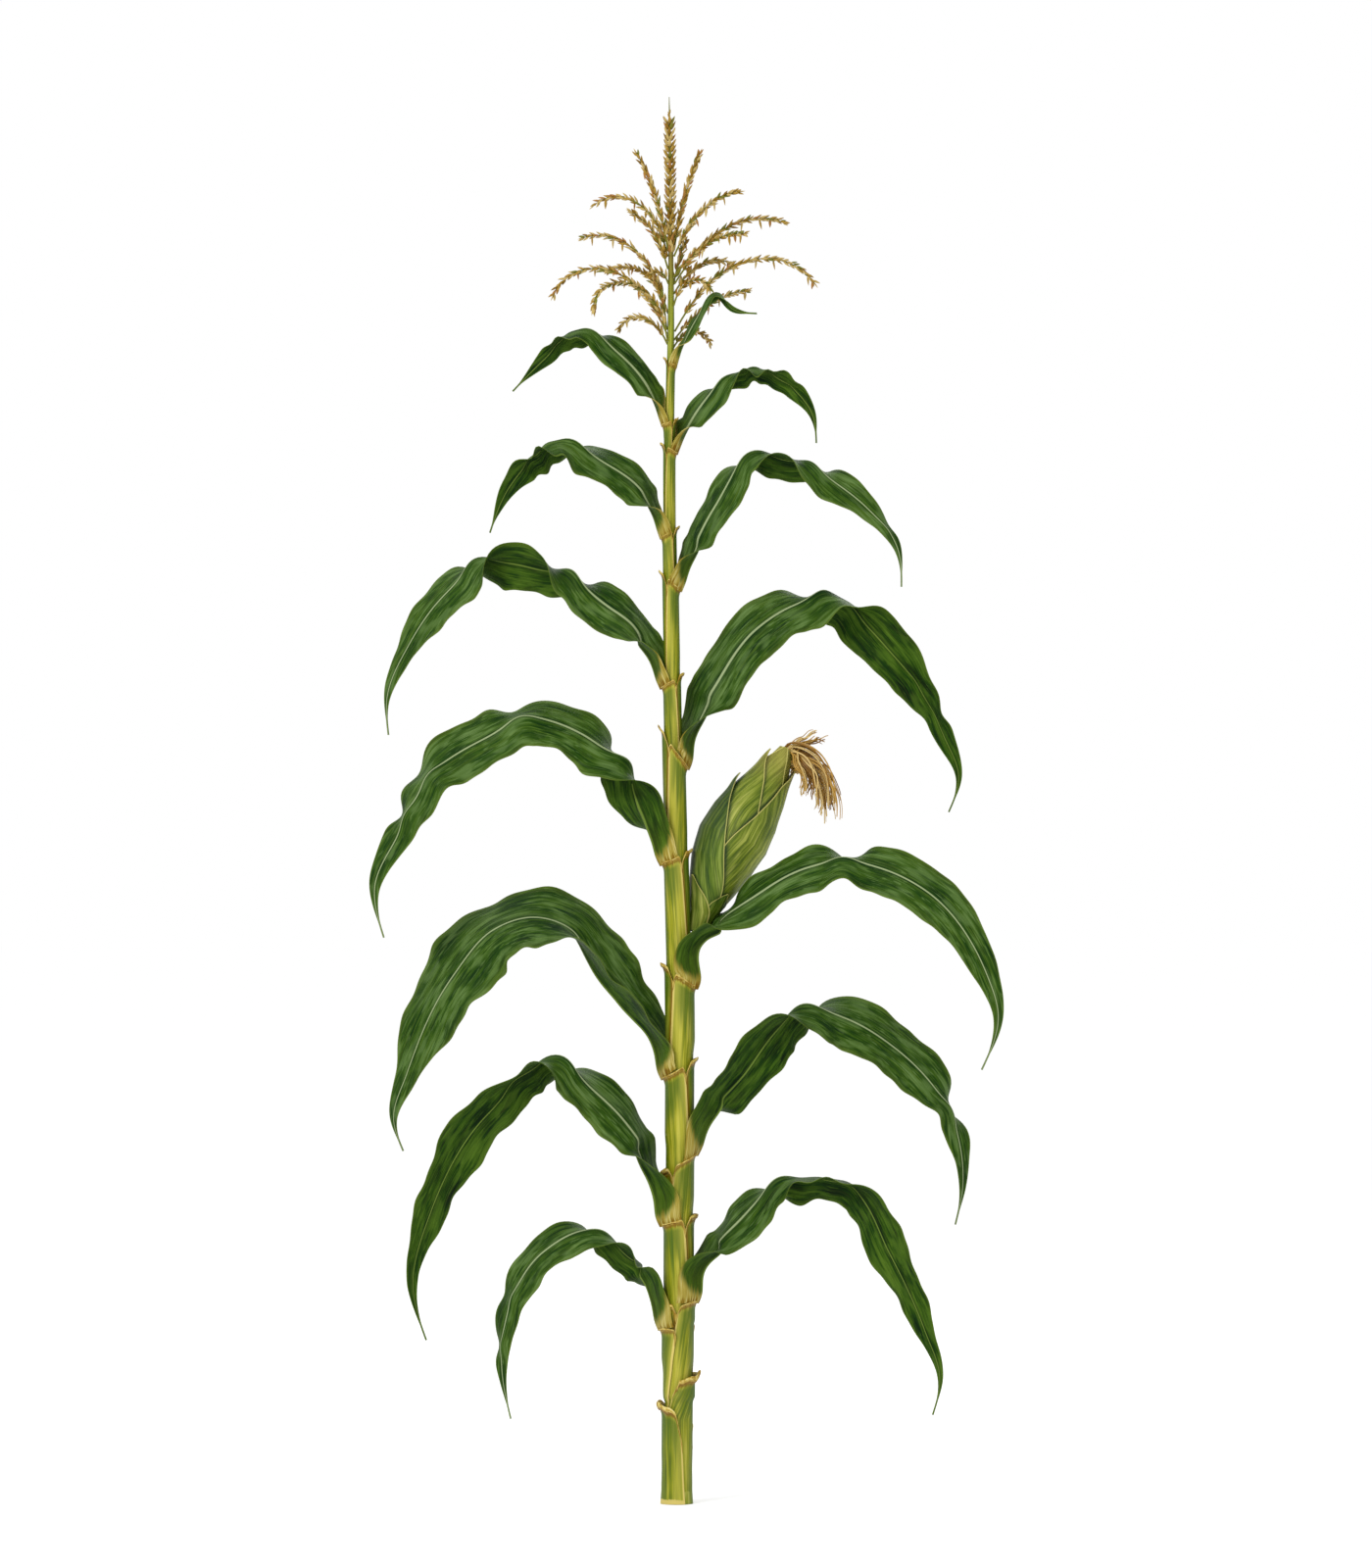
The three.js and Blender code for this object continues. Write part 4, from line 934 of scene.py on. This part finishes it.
def husk_material(name, tones, edge):
    n = Nodes(name, 0.5, 0.2)
    rel, along, half, seed = [n.attr(k) for k in ("rel", "along", "half", "seed")]
    strokes = n.strokes(n.times(rel, half), along, seed)
    dark, pale = tones[0][1], tones[-1][1]
    broad = n.times(strokes(0.3, 0.016, 0.0), 0.6)
    n.col = n.colours(n.plus(broad, n.times(strokes(0.05, 0.012, 8.0, 2.0), 0.45)), tones)
    vein = strokes(0.9, 0.005, 3.0, 2.0)
    n.lay(pale, vein, 0.53, 0.66, 0.0, 0.4)
    n.lay(dark, vein, 0.47, 0.35, 0.0, 0.5)
    fleck = strokes(0.22, 0.02, 27.0, 2.0)
    n.lay(pale, fleck, 0.6, 0.72, 0.0, 0.5)
    n.lay(dark, fleck, 0.42, 0.32, 0.0, 0.55)
    # painted shadow where a leaf comes out from under its neighbour, and painted shade where it turns away round the
    # ear
    n.lay(HUSK_SHADE, n.attr("cover"), 0.0, 1.0, 0.0, 0.92)
    n.lay(HUSK_SHADE, n.attr("flank"), 0.4, 1.0, 0.0, 0.5)
    # painted shade just inside each edge, drier towards the tip, and a pale line along each edge
    rim = n.times(n.minus(1.0, n.math("ABSOLUTE", rel)), half)
    n.lay(dark, rim, 1.6, 6.0, 0.3, 0.0)
    n.lay(STRAW, along, 185.0, 262.0, 0.0, 0.5)
    n.lay(edge, rim, 0.7, 1.7, 0.9, 0.0)
    n.bump(vein, 0.6, 0.0014)
    return n.done()


# the dark green of the painted shade on the husk, and the straw of its dry tip
HUSK_SHADE, STRAW = shade(34, 58, 2), shade(196, 178, 92)
HUSK = husk_material(
    "husk", tones(STEM_BANDS, [(60, 82, 4), (100, 120, 24), (132, 148, 46), (184, 190, 92)]), shade(214, 206, 118))
HUSK_OUT = husk_material(
    "outer husk", tones(STEM_BANDS, [(36, 62, 4), (66, 94, 16), (98, 124, 34), (148, 166, 74)]), shade(196, 194, 108))
husk = Skin()
t = np.linspace(0, 1, 60)[:, None]
q = (2 * math.pi * np.arange(64) / 64)[None, :]
husk.grid(ear_point(t, q, -1.2 + 0.5 * np.cos(3 * q + 4 * t)), caps="fan", rel=np.cos(q) * 0.8 + 0 * t,
          along=t * EAR_SPAN + 0 * q, half=60.0, seed=1.0)
# each leaf of the husk: how far out it lies, outer or not, how far its tip lifts, and how far round its two edges
# lie as it goes up the ear (share of the length, left edge, right edge, in degrees)
HUSK_LEAVES = [
    (0.6, 0, 2, [(0, 130, 330), (0.6, 140, 330), (0.9, 180, 300), (1.04, 222, 246)]),
    (0.8, 0, 3, [(0, -100, 190), (0.6, -60, 150), (0.83, -20, 116), (0.94, 30, 100), (1.0, 56, 80)]),
    (1.9, 0, 4, [(0, -120, 140), (0.4, -100, 118), (0.64, -78, 85), (0.79, -46, 62), (0.88, -16, 34), (0.96, 2, 10)]),
    (1.7, 1, 3, [(0, 190, 400), (0.5, 205, 360), (0.75, 230, 320), (0.9, 262, 284)]),
    (3.0, 0, 4, [(0, 52, 270), (0.3, 58, 262), (0.38, 66, 258), (0.62, 91, 246), (0.8, 116, 222),
                 (0.88, 144, 200), (0.95, 170, 180)]),
    (3.6, 1, 4, [(0, 150, 300), (0.3, 168, 268), (0.5, 178, 240), (0.62, 190, 216), (0.7, 200, 206)]),
    (4.2, 1, 5, [(0, -110, 122), (0.08, -100, 106), (0.25, -84, 80), (0.4, -68, 59), (0.57, -44, 36),
                 (0.68, -18, 14), (0.76, -3, 1)]),
    (4.6, 1, 2, [(-0.11, 60, 250), (-0.02, 66, 215), (0.06, 84, 165), (0.11, 105, 125), (0.13, 112, 118)]),
    (5.2, 0, 2, [(-0.11, -90, 130), (0.0, -60, 100), (0.07, -30, 66), (0.13, -4, 32), (0.17, 12, 17)])]


def husk_edges(edges):
    """Left and right edge of a husk leaf in degrees round the ear, from its foot to its tip."""
    e = np.array(edges, float)
    t = lerp(e[0, 0], e[-1, 0], np.linspace(0, 1, 90) ** 0.85)
    both = np.stack([np.interp(t, e[:, 0], e[:, i]) for i in (1, 2)])
    for _ in range(6):
        both[:, 1:-1] = (both[:, :-2] + 2 * both[:, 1:-1] + both[:, 2:]) / 4
    return t, both


SHEETS = [husk_edges(edges) for *_, edges in HUSK_LEAVES]
for k, (layer, outer, lift, _) in enumerate(HUSK_LEAVES):
    t, (left, right) = SHEETS[k]
    t, left, right = t[:, None], left[:, None], right[:, None]
    u = np.sin(np.linspace(-math.pi / 2, math.pi / 2, 49))[None, :]
    mid, hw = (left + right) / 2, (right - left) / 2
    deg = mid + hw * u + 1.5 * np.sin(17 * t + k) * np.abs(u)
    girth = np.radians(hw) * ear_radius(t)
    # how close it lies beside an edge of a leaf over it, where painted shadow goes
    cover = 0 * deg
    for m, (tt, (a, b)) in enumerate(SHEETS):
        if HUSK_LEAVES[m][0] <= layer:
            continue
        lo, hi = np.interp(t, tt, a), np.interp(t, tt, b)
        turns = np.round(((lo + hi) / 2 - deg) / 360) * 360
        out = np.maximum(lo - deg - turns, deg + turns - hi)
        gap = np.radians(np.maximum(0, out)) * ear_radius(t) + 2 * np.maximum(0, t - tt[-1]) * EAR_SPAN
        cover = np.maximum(cover, np.exp(-((gap / 4.0) ** 1.5)) * smooth(0.03, 0.14, t))
    # it lies close at its foot, is a little crowned and ribbed, and its tip and edges lift
    puff = layer * lerp(0.3, 1, smooth(-0.11, 0.04, t)) + (1 - u**2)
    puff = puff + lift * smooth(0.8, 1.0, t / t[-1]) ** 1.5 + 0.7 * np.abs(u) ** 8
    puff = puff + 0.3 * np.cos(girth * u * 0.55) * (1 - u**4)
    loop = [ear_point(t, np.radians(deg), puff), ear_point(t, np.radians(deg), puff - 0.9)[:, ::-1]]
    # painted shade towards the sides of the ear, where the leaf turns away round it
    flank = np.abs(np.cos(np.radians(deg))) * (0.75 + 0.25 * np.sin(3 * t + k))
    husk.grid(np.concatenate(loop, 1), slot=outer, caps="strip", rel=both_sides(u, t),
              along=both_sides(t * EAR_SPAN, u), half=both_sides(girth, u), seed=2.0 + 1.9 * k,
              cover=both_sides(cover), flank=both_sides(flank))
ob = husk.make("ear_husk_leaves", [HUSK, HUSK_OUT], sharp=50)
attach(ob, "root")
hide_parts("ear_husks")

# the short stalk of the ear, from the side of the sheath to the ear's foot
x, h, tx, th = ear.at(0.0)
seat = float(lean(SHANK_Z)) + (SHANK_SEAT + CLEAR + 0.9 * SHANK_R) * math.cos(rad(EAR_TURN))
shank = Line([[seat, SHANK_Z], [x - tx * 9, h - th * 9], [x, h]])
STEPS, SIDES = 14, 28
a, b, _, _ = shank.at(np.linspace(0, shank.length, STEPS))
s = Skin()
tube(s, turned(a, 0.0, b), np.linspace(SHANK_R - 0.2, EAR_R[0], STEPS) + 0.4 * np.cos(np.arange(STEPS) * 2.1), SIDES,
     rel=0.8 * np.cos(2 * math.pi * np.arange(SIDES) / SIDES)[None, :], along=np.linspace(0, 30, STEPS)[:, None],
     half=30.0, seed=5.0)
ob = s.make("ear_shank_skin", [HUSK_OUT])
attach(ob, "root")
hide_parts("ear_shank")

# silk: threads that leave the tip together, curl over and hang
SILKS = [principled("silk " + k, shade(*c), 0.45, 0.2) for k, c in (
    ("gold", (204, 160, 76)), ("brown", (150, 106, 40)), ("pale", (236, 204, 132)))]
THREADS, LOCK, STEPS = 26, 5, 22
MOST_BACK = 30    # degrees that a bunch may turn to the back
silk = [Skin() for _ in SILKS]
root = ear_point(1.0, 0.0, -12.0)
for length, up, tip, turn in SILK:
    for h in range(THREADS):
        if h % LOCK == 0:    # a lock of threads that wave together
            share, aside, rise, fall, back, w1, w2, amp = rng.uniform(
                [0.62, -20, -16, -10, -34, 0, 0, 2], [1.05, 12, 16, 10, 3, 6, 6, 5])
            kind = rng.choice(3, p=[0.5, 0.24, 0.26])
        ln = length * (share + rng.uniform(-0.06, 0.06))
        d = rad(min(turn + EAR_TURN, MOST_BACK) + aside + rng.normal(0, 2))
        u0, t0 = up + rise + rng.normal(0, 3), tip + fall + rng.normal(0, 3)
        start = root + np.array([rng.normal(0, 2.6) - 0.32 * back, rng.normal(0, 3.6), back + rng.normal(0, 2)])
        r, z, pts = 0.0, 0.0, []
        for i in range(STEPS + 1):
            x = i / STEPS
            e = rad(u0 + (t0 - u0) * x**0.5)
            sway = amp * x**0.7 * math.sin(10 * x + w1)
            lift = 0.6 * amp * x * math.sin(13 * x + w2)
            pts.append(start + np.array([r * math.cos(d) - sway * math.sin(d), r * math.sin(d) + sway * math.cos(d),
                                         z + lift]))
            r += ln / STEPS * math.cos(e)
            z += ln / STEPS * math.sin(e)
        of_lock = rng.random() < 0.6
        tube(silk[kind if of_lock else rng.choice(3)], pts,
             np.linspace(1.35, 0.6, STEPS + 1) * rng.uniform(0.7, 1.35), 5)
for i, (sk, m) in enumerate(zip(silk, SILKS)):
    ob = sk.make("ear_silk_%d" % (i + 1), [m])
    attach(ob, "root")
    if i == 0:
        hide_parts("ear_silk")
